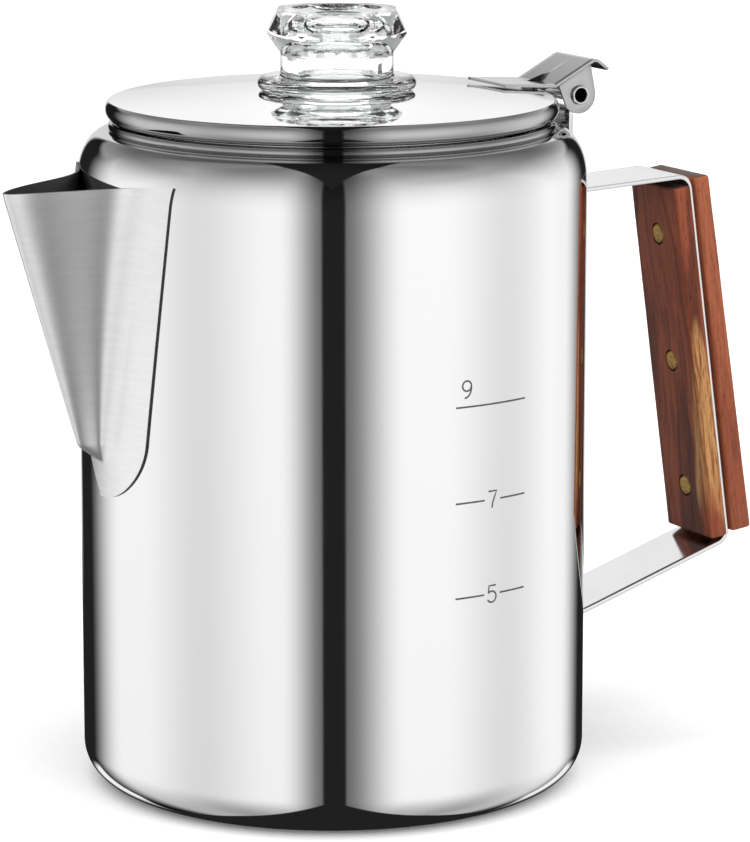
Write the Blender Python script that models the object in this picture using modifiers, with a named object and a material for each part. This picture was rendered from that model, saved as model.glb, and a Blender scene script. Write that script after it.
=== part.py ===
"""Stainless-steel stovetop coffee percolator, as separate pieces. Metres, +Z up.

The origin is the centre of the base. The spout points along -X and the handle along +X.
Drawn steel shells, a folded spout, a hinged lid with a glass knob, a strap handle with
riveted wooden scales, and the pump, basket and spreader plate that stand inside.
"""

import math

import bmesh
import bpy
from mathutils import Matrix, Vector

MM = 0.001
GAP = 0.3 * MM                      # clearance where two pieces touch on the real object

# Pot
BODY_RADIUS = 66.0 * MM
BODY_SHEET = 0.8 * MM
BASE_CORNER = 10.0 * MM
SHOULDER_WIDE = 8.5 * MM            # the shoulder's round is taller than it is wide
SHOULDER_TALL = 12.0 * MM
SHOULDER_Z = 159.5 * MM             # top of the straight wall
NECK_RADIUS = 56.4 * MM
RIM_BEAD = 1.15 * MM                # radius of the rolled rim
RIM_Z = 172.5 * MM

# Spout: a folded sheet whose flanges lie on the wall
SPOUT_SHEET = 0.6 * MM
SPOUT_TIP = 160.5 * MM              # height of the rim at the ridge
SPOUT_RIM_RISE = 2.8 * MM           # the rim climbs by this from the ridge to the flange's corner
SPOUT_BOTTOM = 81.0 * MM
SPOUT_REACH = 92.2 * MM             # ridge distance from the pot's axis at the tip
SPOUT_SLOPE = 0.2955                # outward run of the ridge for each unit of height
SPOUT_FOOT = 90.5 * MM              # height where the fold runs out into the wall
SPOUT_KNEE = 4.5 * MM               # height of the fold's slanting underside
FOLD_ZERO = 83.0 * MM               # height where the fold's straight creases would meet
FOLD_SLOPE = 0.186                  # half-width of the fold for each unit of height
FOLD_LEAST = 1.2 * MM
FOLD_PART = 0.6                     # share of the rim that is fold, and not flange
FLANGE_HALF_TOP = 29.2 * MM
FLANGE_SLOPE = 0.148
FLANGE_ROUND_Z = 97.0 * MM          # the near flange's round lower end starts here
FLANGE_TAPER_Z = 108.0 * MM         # the far flange's tapered lower end starts here
FLANGE_TOE = 0.4 * MM               # keeps the lowest row of the flange a little wide
SPOUT_ROWS = (1, 0.8, 0.6, 0.45, 0.32, 0.25, 0.21, 0.18, 0.16, 0.14, 0.12, 0.085, 0.05, 0.015, 0)
FOLD_COLUMNS = ((0.12, 0.06), (0.42, 0.27), (0.5, 0.35), (0.9, 0.87), (1.0, 1.0))   # width, depth
FLANGE_COLUMNS = (0.35, 0.7, 1.0)
STRAINER_HOLE = 1.9 * MM
STRAINER_PITCH = 6.4 * MM
STRAINER_LOW = 104.0 * MM
STRAINER_HIGH = 152.0 * MM

# Lid
LID_SHEET = 0.8 * MM
LID_TOP = 181.5 * MM
LID_DOME_RADIUS = 54.0 * MM
LID_DOME_DROP = 2.1 * MM
LID_RADIUS = 58.6 * MM
LID_TIP_Z = 176.8 * MM
LID_CURL_RADIUS = 56.0 * MM
LID_BOTTOM = 174.0 * MM
LID_HOLE = 13.7 * MM
SKIRT_RADIUS = 54.9 * MM
SKIRT_BOTTOM = 166.2 * MM
SKIRT_INNER = 46.0 * MM
SKIRT_BEND = 1.5 * MM

# Glass knob. It is looser than its hole and rests to one side of it.
KNOB_X = 1.1 * MM
KNOB_Y = -0.6 * MM
KNOB_TOP = 202.2 * MM
KNOB_RIM = 16.8 * MM                # the crown's round blank before its facets are cut, at the top
KNOB_WIDEST = 20.2 * MM
KNOB_WIDEST_Z = 198.9 * MM
KNOB_NECK = 14.6 * MM
KNOB_NECK_TOP = 190.9 * MM
KNOB_CHAMFER = 0.5 * MM
KNOB_FLANGE = 20.5 * MM
KNOB_FLANGE_TOP = 184.9 * MM
KNOB_SPIGOT = 12.3 * MM
KNOB_BORE = 10.3 * MM
KNOB_CAVITY_TOP = 195.6 * MM
KNOB_BOTTOM = 176.5 * MM
FACET_HALF_WIDTH = 8.3 * MM         # of the four wide facets; four narrow ones cut the corners
FACET_TOP = 15.1 * MM               # distance of the wide facets from the knob's axis at its top
FACET_TAPER = 0.476                 # how much further out they are for each unit lower
FACET_TURN = -28.0                  # degrees
RECESS_RADIUS = 12.0 * MM
RECESS_DEPTH = 1.7 * MM
LUG_REACH = 16.0 * MM
LUG_HALF_WIDTH = 3.0 * MM
LUG_HEIGHT = 2.0 * MM

# Hinge
PIN_X = 68.7 * MM
PIN_Z = 176.9 * MM
PIN_RADIUS = 1.9 * MM
PIN_BORE = 1.45 * MM
PIN_HEAD = 2.6 * MM
PIN_HOLE = PIN_RADIUS + GAP
LEVER_WIDTH = 19.6 * MM
LEVER_SHEET = 0.9 * MM
LEVER_EAR = 4.95 * MM
LEVER_TONGUE = 46.0 * MM            # distance of the tongue's end from the pot's axis
LEVER_FOLD = 61.4 * MM
LEVER_CREST = (73.7 * MM, 186.1 * MM)
LEVER_LIP = (77.5 * MM, 183.2 * MM)
LEVER_BENDS = (0.9 * MM, 1.9 * MM)
LEVER_EAR_TOP = ((72.1 * MM, 184.6 * MM), (70.9 * MM, 184.2 * MM), (62.4 * MM, 179.6 * MM))
DART_LENGTH = 4.2 * MM              # of the rib pressed into the fold, each way from it
DART_WIDTH = 4.8 * MM
DART_RISE = 2.0 * MM
UPRIGHT_WIDTH = 17.0 * MM
UPRIGHT_SHEET = 1.2 * MM
UPRIGHT_EAR = 3.6 * MM
UPRIGHT_BOTTOM = 154.5 * MM
UPRIGHT_TOP = 174.0 * MM
UPRIGHT_EAR_DROP = 4.0 * MM         # how far the ears reach down the strap
DRILL_LENGTH = 30.0 * MM

# Handle
BAND_WIDTH = 21.0 * MM
BAND_SHEET = 1.2 * MM
BAND_TOP_ROOT = 151.35 * MM         # height of the upper arm's middle at the wall
BAND_TOP_CORNER = (103.2 * MM, 153.15 * MM)
BAND_LOW_CORNER = (117.4 * MM, 51.8 * MM)
BAND_LOW_ROOT = 35.05 * MM
BAND_TAB = 12.5 * MM
BAND_BEND = 3.9 * MM
BAND_TAB_BEND = 1.6 * MM
SCALE_INNER_WIDTH = 22.6 * MM
SCALE_INNER_THICK = 5.1 * MM
SCALE_INNER_ENDS = (-49.9 * MM, 48.7 * MM)
SCALE_OUTER_WIDTH = 24.0 * MM
SCALE_OUTER_THICK = (6.0 * MM, 4.4 * MM)      # at its lower and upper end
SCALE_OUTER_ENDS = (-49.1 * MM, 50.6 * MM)
SCALE_EDGE = 0.9 * MM
GRIP_PIN = 2.8 * MM
GRIP_PIN_MIDDLE = -0.8 * MM
GRIP_PIN_PITCH = 35.7 * MM
GRIP_PIN_PROUD = 0.15 * MM

# Pump and basket
STEM_RADIUS = 4.5 * MM
STEM_BORE = 3.8 * MM
STEM_TOP = 180.6 * MM
STEM_BOTTOM = 12.5 * MM
COLLAR_RADIUS = 8.0 * MM
COLLAR_Z = 114.4 * MM
COLLAR_HEIGHT = 1.6 * MM
FOOT_RADIUS = 32.0 * MM
FOOT_Z = 1.3 * MM
FOOT_THROAT_TOP = 24.0 * MM
FOOT_THROAT_LOW = 18.5 * MM
FOOT_SKIRT_TOP = 3.0 * MM
FOOT_SHEET = 0.7 * MM
FOOT_NOTCH = 3.5 * MM
SEAT_RADIUS = 11.5 * MM
SEAT_BORE = 3.2 * MM
SEAT_Z = 8.0 * MM
WASHER_RADIUS = 6.0 * MM
WASHER_THICK = 0.8 * MM
BASKET_RADIUS = 49.5 * MM
BASKET_SHEET = 0.7 * MM
BASKET_FLOOR = 117.2 * MM
BASKET_TOP = 163.5 * MM
BASKET_LIP = 50.8 * MM
BASKET_BENDS = (0.9 * MM, 4.0 * MM)
BASKET_RINGS = ((15 * MM, 5), (25 * MM, 8), (36 * MM, 12))     # ring radius and hole count
SLEEVE_BORE = STEM_RADIUS + GAP
SLEEVE_RADIUS = 5.6 * MM
SLEEVE_TOP = 158.0 * MM
SLEEVE_FLANGE = 9.0 * MM
SPREADER_RADIUS = 52.0 * MM
SPREADER_Z = 164.6 * MM
SPREADER_TOP = 165.4 * MM
SPREADER_CONE = 12.0 * MM           # radius of the raised middle
SPREADER_RISE = 1.4 * MM
SPREADER_RIM = 4.3 * MM
SPREADER_BENDS = (3.0 * MM, 0.9 * MM)
SPREADER_RINGS = ((19 * MM, 5), (30 * MM, 8), (41 * MM, 12))
SIEVE_HOLE = 1.3 * MM

ROUND_STEPS = 48                    # facets round the large shells
SMALL_STEPS = 24                    # facets round the pump and the rivets
BASKET_STEPS = 32

STEEL = (0.78, 0.78, 0.79)
SATIN = (0.70, 0.70, 0.71)
BRASS = (0.62, 0.45, 0.16)
ROSEWOOD = (0.23, 0.065, 0.035)
REDWOOD = (0.42, 0.13, 0.065)
GLASS = (0.93, 0.96, 0.96)


# ---------------------------------------------------------------- helpers

def clear_scene():
    for old in list(bpy.data.objects):
        bpy.data.objects.remove(old, do_unlink=True)


def new_collection(name):
    group = bpy.data.collections.new(name)
    bpy.context.scene.collection.children.link(group)
    return group


def add_object(name, data, parent=None, at=(0, 0, 0)):
    """An object of the percolator, whose own origin stands at a world point."""
    piece = bpy.data.objects.new(name, data)
    PIECES.objects.link(piece)
    piece.location = Vector(at)
    if parent is not None:
        piece.parent = parent
        piece.location = Vector(at) - parent.location
    return piece


def add_empty(name, at, tilt=0.0):
    empty = bpy.data.objects.new(name, None)
    PIECES.objects.link(empty)
    empty.location = at
    empty.rotation_euler = (0, tilt, 0)
    return empty


def paint(piece, colour, roughness, metallic=1.0, transmission=0.0):
    material = bpy.data.materials.new(piece.name)
    material.use_nodes = True
    shader = material.node_tree.nodes["Principled BSDF"]
    shader.inputs["Base Color"].default_value = (*colour, 1.0)
    shader.inputs["Roughness"].default_value = roughness
    shader.inputs["Metallic"].default_value = metallic
    shader.inputs["Transmission Weight"].default_value = transmission
    material.diffuse_color = (*colour, 1.0)
    piece.data.materials.append(material)


def arc(centre, radii, start, end, steps):
    """Points of an elliptical arc, from one angle to another in degrees."""
    points = []
    for i in range(steps + 1):
        angle = math.radians(start + (end - start) * i / steps)
        points.append((centre[0] + radii[0] * math.cos(angle),
                       centre[1] + radii[1] * math.sin(angle)))
    return points


def offset_path(path, distance):
    """The path moved to its right-hand side: inwards, where it runs down a wall."""
    moved = []
    for i, point in enumerate(path):
        before = Vector(path[max(i - 1, 0)])
        here = Vector(point)
        after = Vector(path[min(i + 1, len(path) - 1)])
        into = (here - before) if i > 0 else (after - here)
        out = (after - here) if i < len(path) - 1 else into
        into.normalize()
        out.normalize()
        middle = (into + out).normalized()
        reach = distance / max(middle.dot(into), 0.5)
        moved.append((here.x + middle.y * reach, here.y - middle.x * reach))
    return moved


def sheet_ring(path, thickness):
    """Closed section of a sheet whose outer face follows the path."""
    return path + offset_path(path, thickness)[::-1]


def fillet(points, radius, steps=4):
    """Round the inner corners of a path. A radius of 0 keeps a corner sharp."""
    rounded = [points[0]]
    for i in range(1, len(points) - 1):
        corner = Vector(points[i])
        to_last = (Vector(points[i - 1]) - corner).normalized()
        to_next = (Vector(points[i + 1]) - corner).normalized()
        half = to_last.angle(to_next) / 2
        run = radius[i - 1] / math.tan(half)
        centre = corner + (to_last + to_next).normalized() * radius[i - 1] / math.sin(half)
        first = corner + to_last * run - centre
        last = corner + to_next * run - centre
        for k in range(steps + 1):
            spoke = first.lerp(last, k / steps).normalized() * radius[i - 1]
            rounded.append((centre.x + spoke.x, centre.y + spoke.y))
    rounded.append(points[-1])
    return rounded


def turned(name, section, closed, steps=ROUND_STEPS, parent=None, at=(0, 0, 0)):
    """A section of (radius, height) points turned round the vertical axis."""
    edges = [(i, i + 1) for i in range(len(section) - 1)]
    if closed:
        edges.append((len(section) - 1, 0))
    mesh = bpy.data.meshes.new(name)
    mesh.from_pydata([(radius, 0.0, height) for radius, height in section], edges, [])
    piece = add_object(name, mesh, parent, at)
    screw = piece.modifiers.new("turn", "SCREW")
    screw.axis = "Z"
    screw.angle = 2 * math.pi
    screw.steps = steps
    screw.render_steps = steps
    screw.use_merge_vertices = True
    screw.merge_threshold = 0.00001
    return piece


def ribbon(name, path, width, thickness, parent=None, at=(0, 0, 0)):
    """A bent strip: the path in the XZ plane, spread along Y and thickened both ways."""
    build = bmesh.new()
    sides = []
    for y in (-width / 2, width / 2):
        sides.append([build.verts.new((x - at[0], y, z - at[2])) for x, z in path])
    for i in range(len(path) - 1):
        build.faces.new((sides[0][i], sides[0][i + 1], sides[1][i + 1], sides[1][i]))
    mesh = bpy.data.meshes.new(name)
    build.to_mesh(mesh)
    build.free()
    piece = add_object(name, mesh, parent, at)
    thicken(piece, thickness, 0.0)
    return piece


def thicken(piece, thickness, offset):
    solid = piece.modifiers.new("sheet", "SOLIDIFY")
    solid.thickness = thickness
    solid.offset = offset
    solid.use_even_offset = True


def outline_plate(name, outline, thickness, centre_y, parent=None, at=(0, 0, 0)):
    """A flat plate, from an outline in the XZ plane, as a welded mesh."""
    curve = bpy.data.curves.new(name, "CURVE")
    curve.dimensions = "2D"
    curve.fill_mode = "BOTH"
    curve.extrude = thickness / 2
    spline = curve.splines.new("POLY")
    spline.points.add(len(outline) - 1)
    for point, (x, z) in zip(spline.points, outline):
        point.co = (x - at[0], z - at[2], 0.0, 1.0)
    spline.use_cyclic_u = True
    guide = bpy.data.objects.new(name + "_outline", curve)
    PIECES.objects.link(guide)
    bpy.context.view_layer.update()
    shape = guide.evaluated_get(bpy.context.evaluated_depsgraph_get())
    mesh = bpy.data.meshes.new_from_object(shape)
    bpy.data.objects.remove(guide, do_unlink=True)
    build = bmesh.new()
    build.from_mesh(mesh)
    bmesh.ops.remove_doubles(build, verts=build.verts, dist=0.000001)
    bmesh.ops.rotate(build, verts=build.verts, matrix=Matrix.Rotation(math.pi / 2, 3, "X"))
    bmesh.ops.translate(build, verts=build.verts, vec=(0, centre_y, 0))
    bmesh.ops.recalc_face_normals(build, faces=build.faces)
    build.to_mesh(mesh)
    build.free()
    return add_object(name, mesh, parent, at)


def block(name, low, high, parent=None, at=(0, 0, 0)):
    """A box between two corners, given in the piece's own frame."""
    build = bmesh.new()
    bmesh.ops.create_cube(build, size=1.0)
    size = Vector(high) - Vector(low)
    bmesh.ops.scale(build, verts=build.verts, vec=size)
    bmesh.ops.translate(build, verts=build.verts, vec=Vector(low) + size / 2)
    mesh = bpy.data.meshes.new(name)
    build.to_mesh(mesh)
    build.free()
    return add_object(name, mesh, parent, at)


def rods(name, centres, radius, length, direction, steps=12, parent=None, at=(0, 0, 0)):
    """Equal cylinders along one direction: drills for holes, or a plain round rod."""
    turn = Vector((0, 0, 1)).rotation_difference(Vector(direction)).to_matrix().to_4x4()
    build = bmesh.new()
    for centre in centres:
        bmesh.ops.create_cone(build, cap_ends=True, segments=steps, radius1=radius,
                              radius2=radius, depth=length,
                              matrix=Matrix.Translation(centre) @ turn)
    mesh = bpy.data.meshes.new(name)
    build.to_mesh(mesh)
    build.free()
    return add_object(name, mesh, parent, at)


def combine(piece, tool, operation):
    """Cut, join or intersect a piece with a tool, which moves to the cutters."""
    PIECES.objects.unlink(tool)
    CUTTERS.objects.link(tool)
    tool.hide_render = True
    tool.display_type = "WIRE"
    step = piece.modifiers.new(tool.name, "BOOLEAN")
    step.operation = operation
    step.solver = "EXACT"
    step.object = tool


def bevel(piece, width, segments=1):
    edge = piece.modifiers.new("edges", "BEVEL")
    edge.width = width
    edge.segments = segments
    edge.limit_method = "ANGLE"


def smooth(piece):
    piece.data.shade_smooth()


# ---------------------------------------------------------------- pot and spout

def make_pot():
    """Drawn vessel with a rounded base corner, a rounded shoulder and a rolled rim."""
    wall = BODY_SHEET
    neck_inside = NECK_RADIUS - wall
    bead_centre = (neck_inside + RIM_BEAD, RIM_Z)
    shoulder_centre = (BODY_RADIUS - SHOULDER_WIDE, SHOULDER_Z)
    corner_centre = (BODY_RADIUS - BASE_CORNER, BASE_CORNER)
    inside = [(0.0, wall)]
    inside += arc(corner_centre, (BASE_CORNER - wall,) * 2, -90, 0, 4)
    inside += arc(shoulder_centre, (SHOULDER_WIDE - wall, SHOULDER_TALL - wall), 0, 90, 4)
    inside.append((neck_inside, SHOULDER_Z + SHOULDER_TALL - wall))
    rim = arc(bead_centre, (RIM_BEAD, RIM_BEAD), 180, -60, 6)
    outside = arc(shoulder_centre, (SHOULDER_WIDE, SHOULDER_TALL), 84, 0, 5)
    outside += arc(corner_centre, (BASE_CORNER,) * 2, 0, -90, 5)
    outside.append((0.0, 0.0))
    pot = turned("pot_body", inside + rim + outside, closed=False)
    paint(pot, STEEL, 0.08)
    combine(pot, make_strainer_drills(), "DIFFERENCE")
    smooth(pot)


def fold_half_width(height):
    """Half the width of the spout's fold where it meets the wall."""
    return max(FOLD_SLOPE * (height - FOLD_ZERO), FOLD_LEAST)


def make_strainer_drills():
    """Holes through the wall behind the spout, more to a row as the spout widens."""
    centres = []
    rows = int((STRAINER_HIGH - STRAINER_LOW) / STRAINER_PITCH) + 1
    for row in range(rows):
        height = STRAINER_LOW + row * STRAINER_PITCH
        room = 2 * (fold_half_width(height) - STRAINER_HOLE)
        count = 1 + int(max(room, 0.0) / STRAINER_PITCH)
        for k in range(count):
            y = (k - (count - 1) / 2) * STRAINER_PITCH
            centres.append((-BODY_RADIUS, y, height))
    return rods("strainer_drills", centres, STRAINER_HOLE, 8 * MM, (1, 0, 0), steps=10)


def flange_half_width(height, far):
    """Half the width of the spout's flange, measured along the wall."""
    straight = FLANGE_HALF_TOP - FLANGE_SLOPE * (SPOUT_TIP - height)
    start = FLANGE_TAPER_Z if far else FLANGE_ROUND_Z
    if height >= start:
        return straight
    depth = (start - height) / (start - SPOUT_BOTTOM + FLANGE_TOE)
    return straight * ((1 - depth) ** 0.75 if far else math.sqrt(1 - depth * depth))


def ridge_reach(height, wall):
    """Distance of the spout's ridge from the pot's axis."""
    reach = SPOUT_REACH - SPOUT_SLOPE * (SPOUT_TIP - height)
    rise = (height - SPOUT_FOOT) / SPOUT_KNEE
    if rise < 1:
        reach = wall + (reach - wall) * max(rise, 0.0) ** 0.7
    return max(reach, wall)


def spout_half_row(height, wall, far):
    """Points (distance from the axis, half-width, share of the rim) after the ridge's own."""
    depth = ridge_reach(height, wall) - wall
    fold = fold_half_width(height)
    points = []
    for share, fall in FOLD_COLUMNS:
        across = fold * share
        reach = math.sqrt(wall * wall - across * across) + depth * (1 - fall)
        points.append((reach, across, FOLD_PART * share))
    start = math.asin(fold / wall)
    edge = max(flange_half_width(height, far) / wall, start + 0.01)
    for share in FLANGE_COLUMNS:
        angle = start + (edge - start) * share
        rim = FOLD_PART + (1 - FOLD_PART) * share
        points.append((wall * math.cos(angle), wall * math.sin(angle), rim))
    return points


def spout_row(height, wall):
    """One level of the spout, from the near flange's edge over the ridge to the far one's."""
    far = spout_half_row(height, wall, True)
    near = [(reach, -across, share) for reach, across, share in spout_half_row(height, wall, False)]
    row = near[::-1] + [(ridge_reach(height, wall), 0.0, 0.0)] + far
    climb = SPOUT_RIM_RISE * ((height - SPOUT_BOTTOM) / (SPOUT_TIP - SPOUT_BOTTOM)) ** 2
    return [(-reach, across, height + climb * share) for reach, across, share in row]


def make_spout():
    """The folded sheet is lofted up the wall, then thickened outwards."""
    wall = BODY_RADIUS + GAP
    build = bmesh.new()
    rows = []
    for share in SPOUT_ROWS:
        height = SPOUT_BOTTOM + (SPOUT_TIP - SPOUT_BOTTOM) * share
        rows.append([build.verts.new(point) for point in spout_row(height, wall)])
    for upper, lower in zip(rows, rows[1:]):
        for i in range(len(upper) - 1):
            build.faces.new((upper[i], upper[i + 1], lower[i + 1], lower[i]))
    mesh = bpy.data.meshes.new("spout")
    build.to_mesh(mesh)
    build.free()
    spout = add_object("spout", mesh)
    thicken(spout, SPOUT_SHEET, 1.0)
    paint(spout, SATIN, 0.3)
    smooth(spout)


# ---------------------------------------------------------------- lid and knob

def lid_height(radius):
    """Height of the lid's domed top surface."""
    return LID_TOP - LID_DOME_DROP * (radius / LID_DOME_RADIUS) ** 2


def make_lid(lid_axis):
    """Domed lid with a curled edge, and a hole with two notches for the knob's lugs."""
    steps = 3
    dome = [LID_HOLE + (LID_DOME_RADIUS - LID_HOLE) * i / steps for i in range(steps)]
    path = [(radius, lid_height(radius)) for radius in dome]
    shoulder = (LID_RADIUS - LID_DOME_RADIUS, lid_height(LID_DOME_RADIUS) - LID_TIP_Z)
    path += arc((LID_DOME_RADIUS, LID_TIP_Z), shoulder, 90, 0, 4)
    curl = (LID_RADIUS - LID_CURL_RADIUS, LID_TIP_Z - LID_BOTTOM)
    path += arc((LID_CURL_RADIUS, LID_TIP_Z), curl, 0, -90, 3)[1:]
    lid = turned("lid_plate", sheet_ring(path, LID_SHEET), True, parent=lid_axis)
    notch_half = LUG_HALF_WIDTH + 2 * GAP
    notch_reach = LUG_REACH + 2 * GAP
    notch = block("lug_notches", (KNOB_X - notch_half, KNOB_Y - notch_reach, LID_TOP - 3 * MM),
                  (KNOB_X + notch_half, KNOB_Y + notch_reach, LID_TOP + 1 * MM), lid_axis)
    combine(lid, notch, "DIFFERENCE")
    paint(lid, STEEL, 0.08)
    smooth(lid)


def make_skirt(lid_axis):
    """Ring under the lid that enters the mouth and keeps the lid central."""
    under = LID_SHEET + GAP
    path = [(SKIRT_INNER, lid_height(SKIRT_INNER) - under),
            (SKIRT_RADIUS, lid_height(SKIRT_RADIUS) - under - GAP / 3),
            (SKIRT_RADIUS, SKIRT_BOTTOM)]
    path = fillet(path, (SKIRT_BEND,), 2)
    skirt = turned("lid_skirt", sheet_ring(path, LID_SHEET), True, parent=lid_axis)
    paint(skirt, STEEL, 0.15)
    smooth(skirt)


def make_knob(knob_axis):
    """Hollow glass knob: faceted crown, neck, round flange, and a spigot with two lugs."""
    flange_bottom = lid_height(LID_HOLE) + GAP
    flange_middle = (KNOB_FLANGE_TOP + flange_bottom) / 2
    flange_edge = (KNOB_FLANGE_TOP - flange_bottom) / 2
    seat = (KNOB_X, KNOB_Y, flange_bottom)
    recess = KNOB_TOP - RECESS_DEPTH
    chamfer = KNOB_CHAMFER
    section = [(0.0, recess), (RECESS_RADIUS - 3 * chamfer, recess),
               (RECESS_RADIUS, KNOB_TOP - chamfer), (RECESS_RADIUS + chamfer, KNOB_TOP),
               (KNOB_RIM, KNOB_TOP), (KNOB_WIDEST, KNOB_WIDEST_Z), (KNOB_NECK, KNOB_NECK_TOP),
               (KNOB_NECK, KNOB_FLANGE_TOP + 2 * chamfer),
               (KNOB_NECK + 2 * chamfer, KNOB_FLANGE_TOP)]
    section += arc((KNOB_FLANGE - flange_edge, flange_middle), (flange_edge,) * 2, 90, -90, 5)
    section += [(KNOB_SPIGOT, flange_bottom), (KNOB_SPIGOT, KNOB_BOTTOM),
                (KNOB_BORE, KNOB_BOTTOM), (KNOB_BORE, KNOB_CAVITY_TOP),
                (KNOB_BORE - 4 * chamfer, KNOB_CAVITY_TOP + 4 * chamfer),
                (0.0, KNOB_CAVITY_TOP + 5 * chamfer)]
    section = [(radius, height - seat[2]) for radius, height in section]
    knob = turned("glass_knob", section, closed=False, steps=40, parent=knob_axis, at=seat)
    lug_top = lid_height(LUG_REACH) - LID_SHEET - 2 * GAP - seat[2]
    for side, name in ((-1, "lug_front"), (1, "lug_back")):
        ends = sorted((side * (KNOB_SPIGOT - 2 * chamfer), side * LUG_REACH))
        lug = block(name, (ends[0], -LUG_HALF_WIDTH, lug_top - LUG_HEIGHT),
                    (ends[1], LUG_HALF_WIDTH, lug_top), knob_axis, seat)
        combine(knob, lug, "UNION")
    combine(knob, make_facet_block(knob_axis, seat), "INTERSECT")
    paint(knob, GLASS, 0.02, metallic=0.0, transmission=0.95)
    smooth(knob)


def make_facet_block(knob_axis, seat):
    """Square taper with cut corners: its faces cut the crown's facets and clear everything lower."""
    turn = Matrix.Rotation(math.radians(FACET_TURN), 4, "Z")
    build = bmesh.new()
    for height in (KNOB_BOTTOM - MM, KNOB_TOP + MM):
        face = FACET_TOP + FACET_TAPER * (KNOB_TOP - height)
        for x, y in ((FACET_HALF_WIDTH, face), (face, FACET_HALF_WIDTH)):
            for sign_x in (-1, 1):
                for sign_y in (-1, 1):
                    build.verts.new(turn @ Vector((sign_x * x, sign_y * y, height - seat[2])))
    bmesh.ops.convex_hull(build, input=build.verts)
    mesh = bpy.data.meshes.new("facets")
    build.to_mesh(mesh)
    build.free()
    return add_object("facets", mesh, knob_axis, seat)


# ---------------------------------------------------------------- hinge

def lever_path():
    """Middle line of the lid's lever: tongue on the lid, rising thumb plate, turned-down lip."""
    lift = GAP + LEVER_SHEET / 2
    start = (LEVER_TONGUE, lid_height(LEVER_TONGUE) + lift)
    fold = (LEVER_FOLD, lid_height(LID_DOME_RADIUS) + lift / 2)
    return fillet([start, fold, LEVER_CREST, LEVER_LIP], LEVER_BENDS, 3)


def make_lever(lid_axis, pin):
    """Lid half of the hinge: one bent sheet with two ears and a pressed stiffening dart."""
    path = lever_path()
    lever = ribbon("lid_lever", path, LEVER_WIDTH - GAP / 3, LEVER_SHEET, lid_axis, pin)
    fold = path[3]
    ear = arc((PIN_X, PIN_Z), (LEVER_EAR, LEVER_EAR), -142, 4, 9) + list(LEVER_EAR_TOP)
    middle = (LEVER_WIDTH - LEVER_SHEET) / 2
    for side, name in ((-1, "lever_ear_front"), (1, "lever_ear_back")):
        plate = outline_plate(name, ear, LEVER_SHEET, side * middle, lid_axis, pin)
        combine(lever, plate, "UNION")
    combine(lever, make_dart(fold, lid_axis, pin), "UNION")
    hole = rods("lever_pin_hole", [(0, 0, 0)], PIN_HOLE, DRILL_LENGTH, (0, 1, 0), 20, lid_axis, pin)
    combine(lever, hole, "DIFFERENCE")
    paint(lever, STEEL, 0.15)


def make_dart(fold, lid_axis, pin):
    """Three-sided rib pressed into the lever's fold."""
    corners = ((-DART_LENGTH, 0, 0), (DART_LENGTH, 0, 1.25 * DART_RISE), (DART_LENGTH / 3, 0, DART_RISE),
               (0, -DART_WIDTH / 2, -GAP), (0, DART_WIDTH / 2, -GAP))
    build = bmesh.new()
    for x, y, z in corners:
        build.verts.new((fold[0] + x - pin[0], y, fold[1] + z - pin[2]))
    bmesh.ops.convex_hull(build, input=build.verts)
    mesh = bpy.data.meshes.new("dart")
    build.to_mesh(mesh)
    build.free()
    return add_object("dart", mesh, lid_axis, pin)


def make_upright():
    """Pot half of the hinge: an upright on the wall with two ears inside the lever's ears."""
    front = BODY_RADIUS + GAP
    rear = front + UPRIGHT_SHEET
    half = (UPRIGHT_WIDTH - GAP / 3) / 2
    upright = block("hinge_upright", (front, -half, UPRIGHT_BOTTOM), (rear, half, UPRIGHT_TOP))
    ear_bottom = UPRIGHT_TOP - UPRIGHT_EAR_DROP
    top_angle = math.degrees(math.acos((front - PIN_X) / UPRIGHT_EAR))
    ear = [(front, ear_bottom), (rear, ear_bottom)]
    ear += arc((PIN_X, PIN_Z), (UPRIGHT_EAR, UPRIGHT_EAR), -108, top_angle - 1, 12)
    middle = (UPRIGHT_WIDTH - UPRIGHT_SHEET) / 2
    for side, name in ((-1, "upright_ear_front"), (1, "upright_ear_back")):
        plate = outline_plate(name, ear, UPRIGHT_SHEET, side * middle)
        combine(upright, plate, "UNION")
    hole = rods("upright_pin_hole", [(PIN_X, 0, PIN_Z)], PIN_HOLE, DRILL_LENGTH, (0, 1, 0), 20)
    combine(upright, hole, "DIFFERENCE")
    paint(upright, STEEL, 0.12)


def make_hinge_pin(pin):
    """Hollow rivet through both pairs of ears, flared at each end."""
    inside = LEVER_WIDTH / 2 + GAP
    end = inside + 0.8 * MM
    section = [(PIN_BORE, end), (PIN_HEAD - 0.5 * MM, end), (PIN_HEAD, end - 0.4 * MM),
               (PIN_HEAD, inside), (PIN_RADIUS, inside)]
    mirrored = [(radius, -height) for radius, height in section[::-1]]
    rivet = turned("hinge_pin", section + mirrored, True, SMALL_STEPS, at=pin)
    rivet.rotation_euler = (math.pi / 2, 0, 0)
    paint(rivet, STEEL, 0.15)
    smooth(rivet)


# ---------------------------------------------------------------- handle

def make_band():
    """Flat steel band bent into a bracket, with a tab at each end that lies on the wall."""
    wall = BODY_RADIUS + GAP + BAND_SHEET / 2
    path = [(wall, BAND_TOP_ROOT - BAND_TAB), (wall, BAND_TOP_ROOT), BAND_TOP_CORNER,
            BAND_LOW_CORNER, (wall, BAND_LOW_ROOT), (wall, BAND_LOW_ROOT + BAND_TAB)]
    bends = (BAND_TAB_BEND, BAND_BEND, BAND_BEND, BAND_TAB_BEND)
    band = ribbon("handle_band", fillet(path, bends, 4), BAND_WIDTH, BAND_SHEET)
    paint(band, STEEL, 0.12)
    return band


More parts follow.
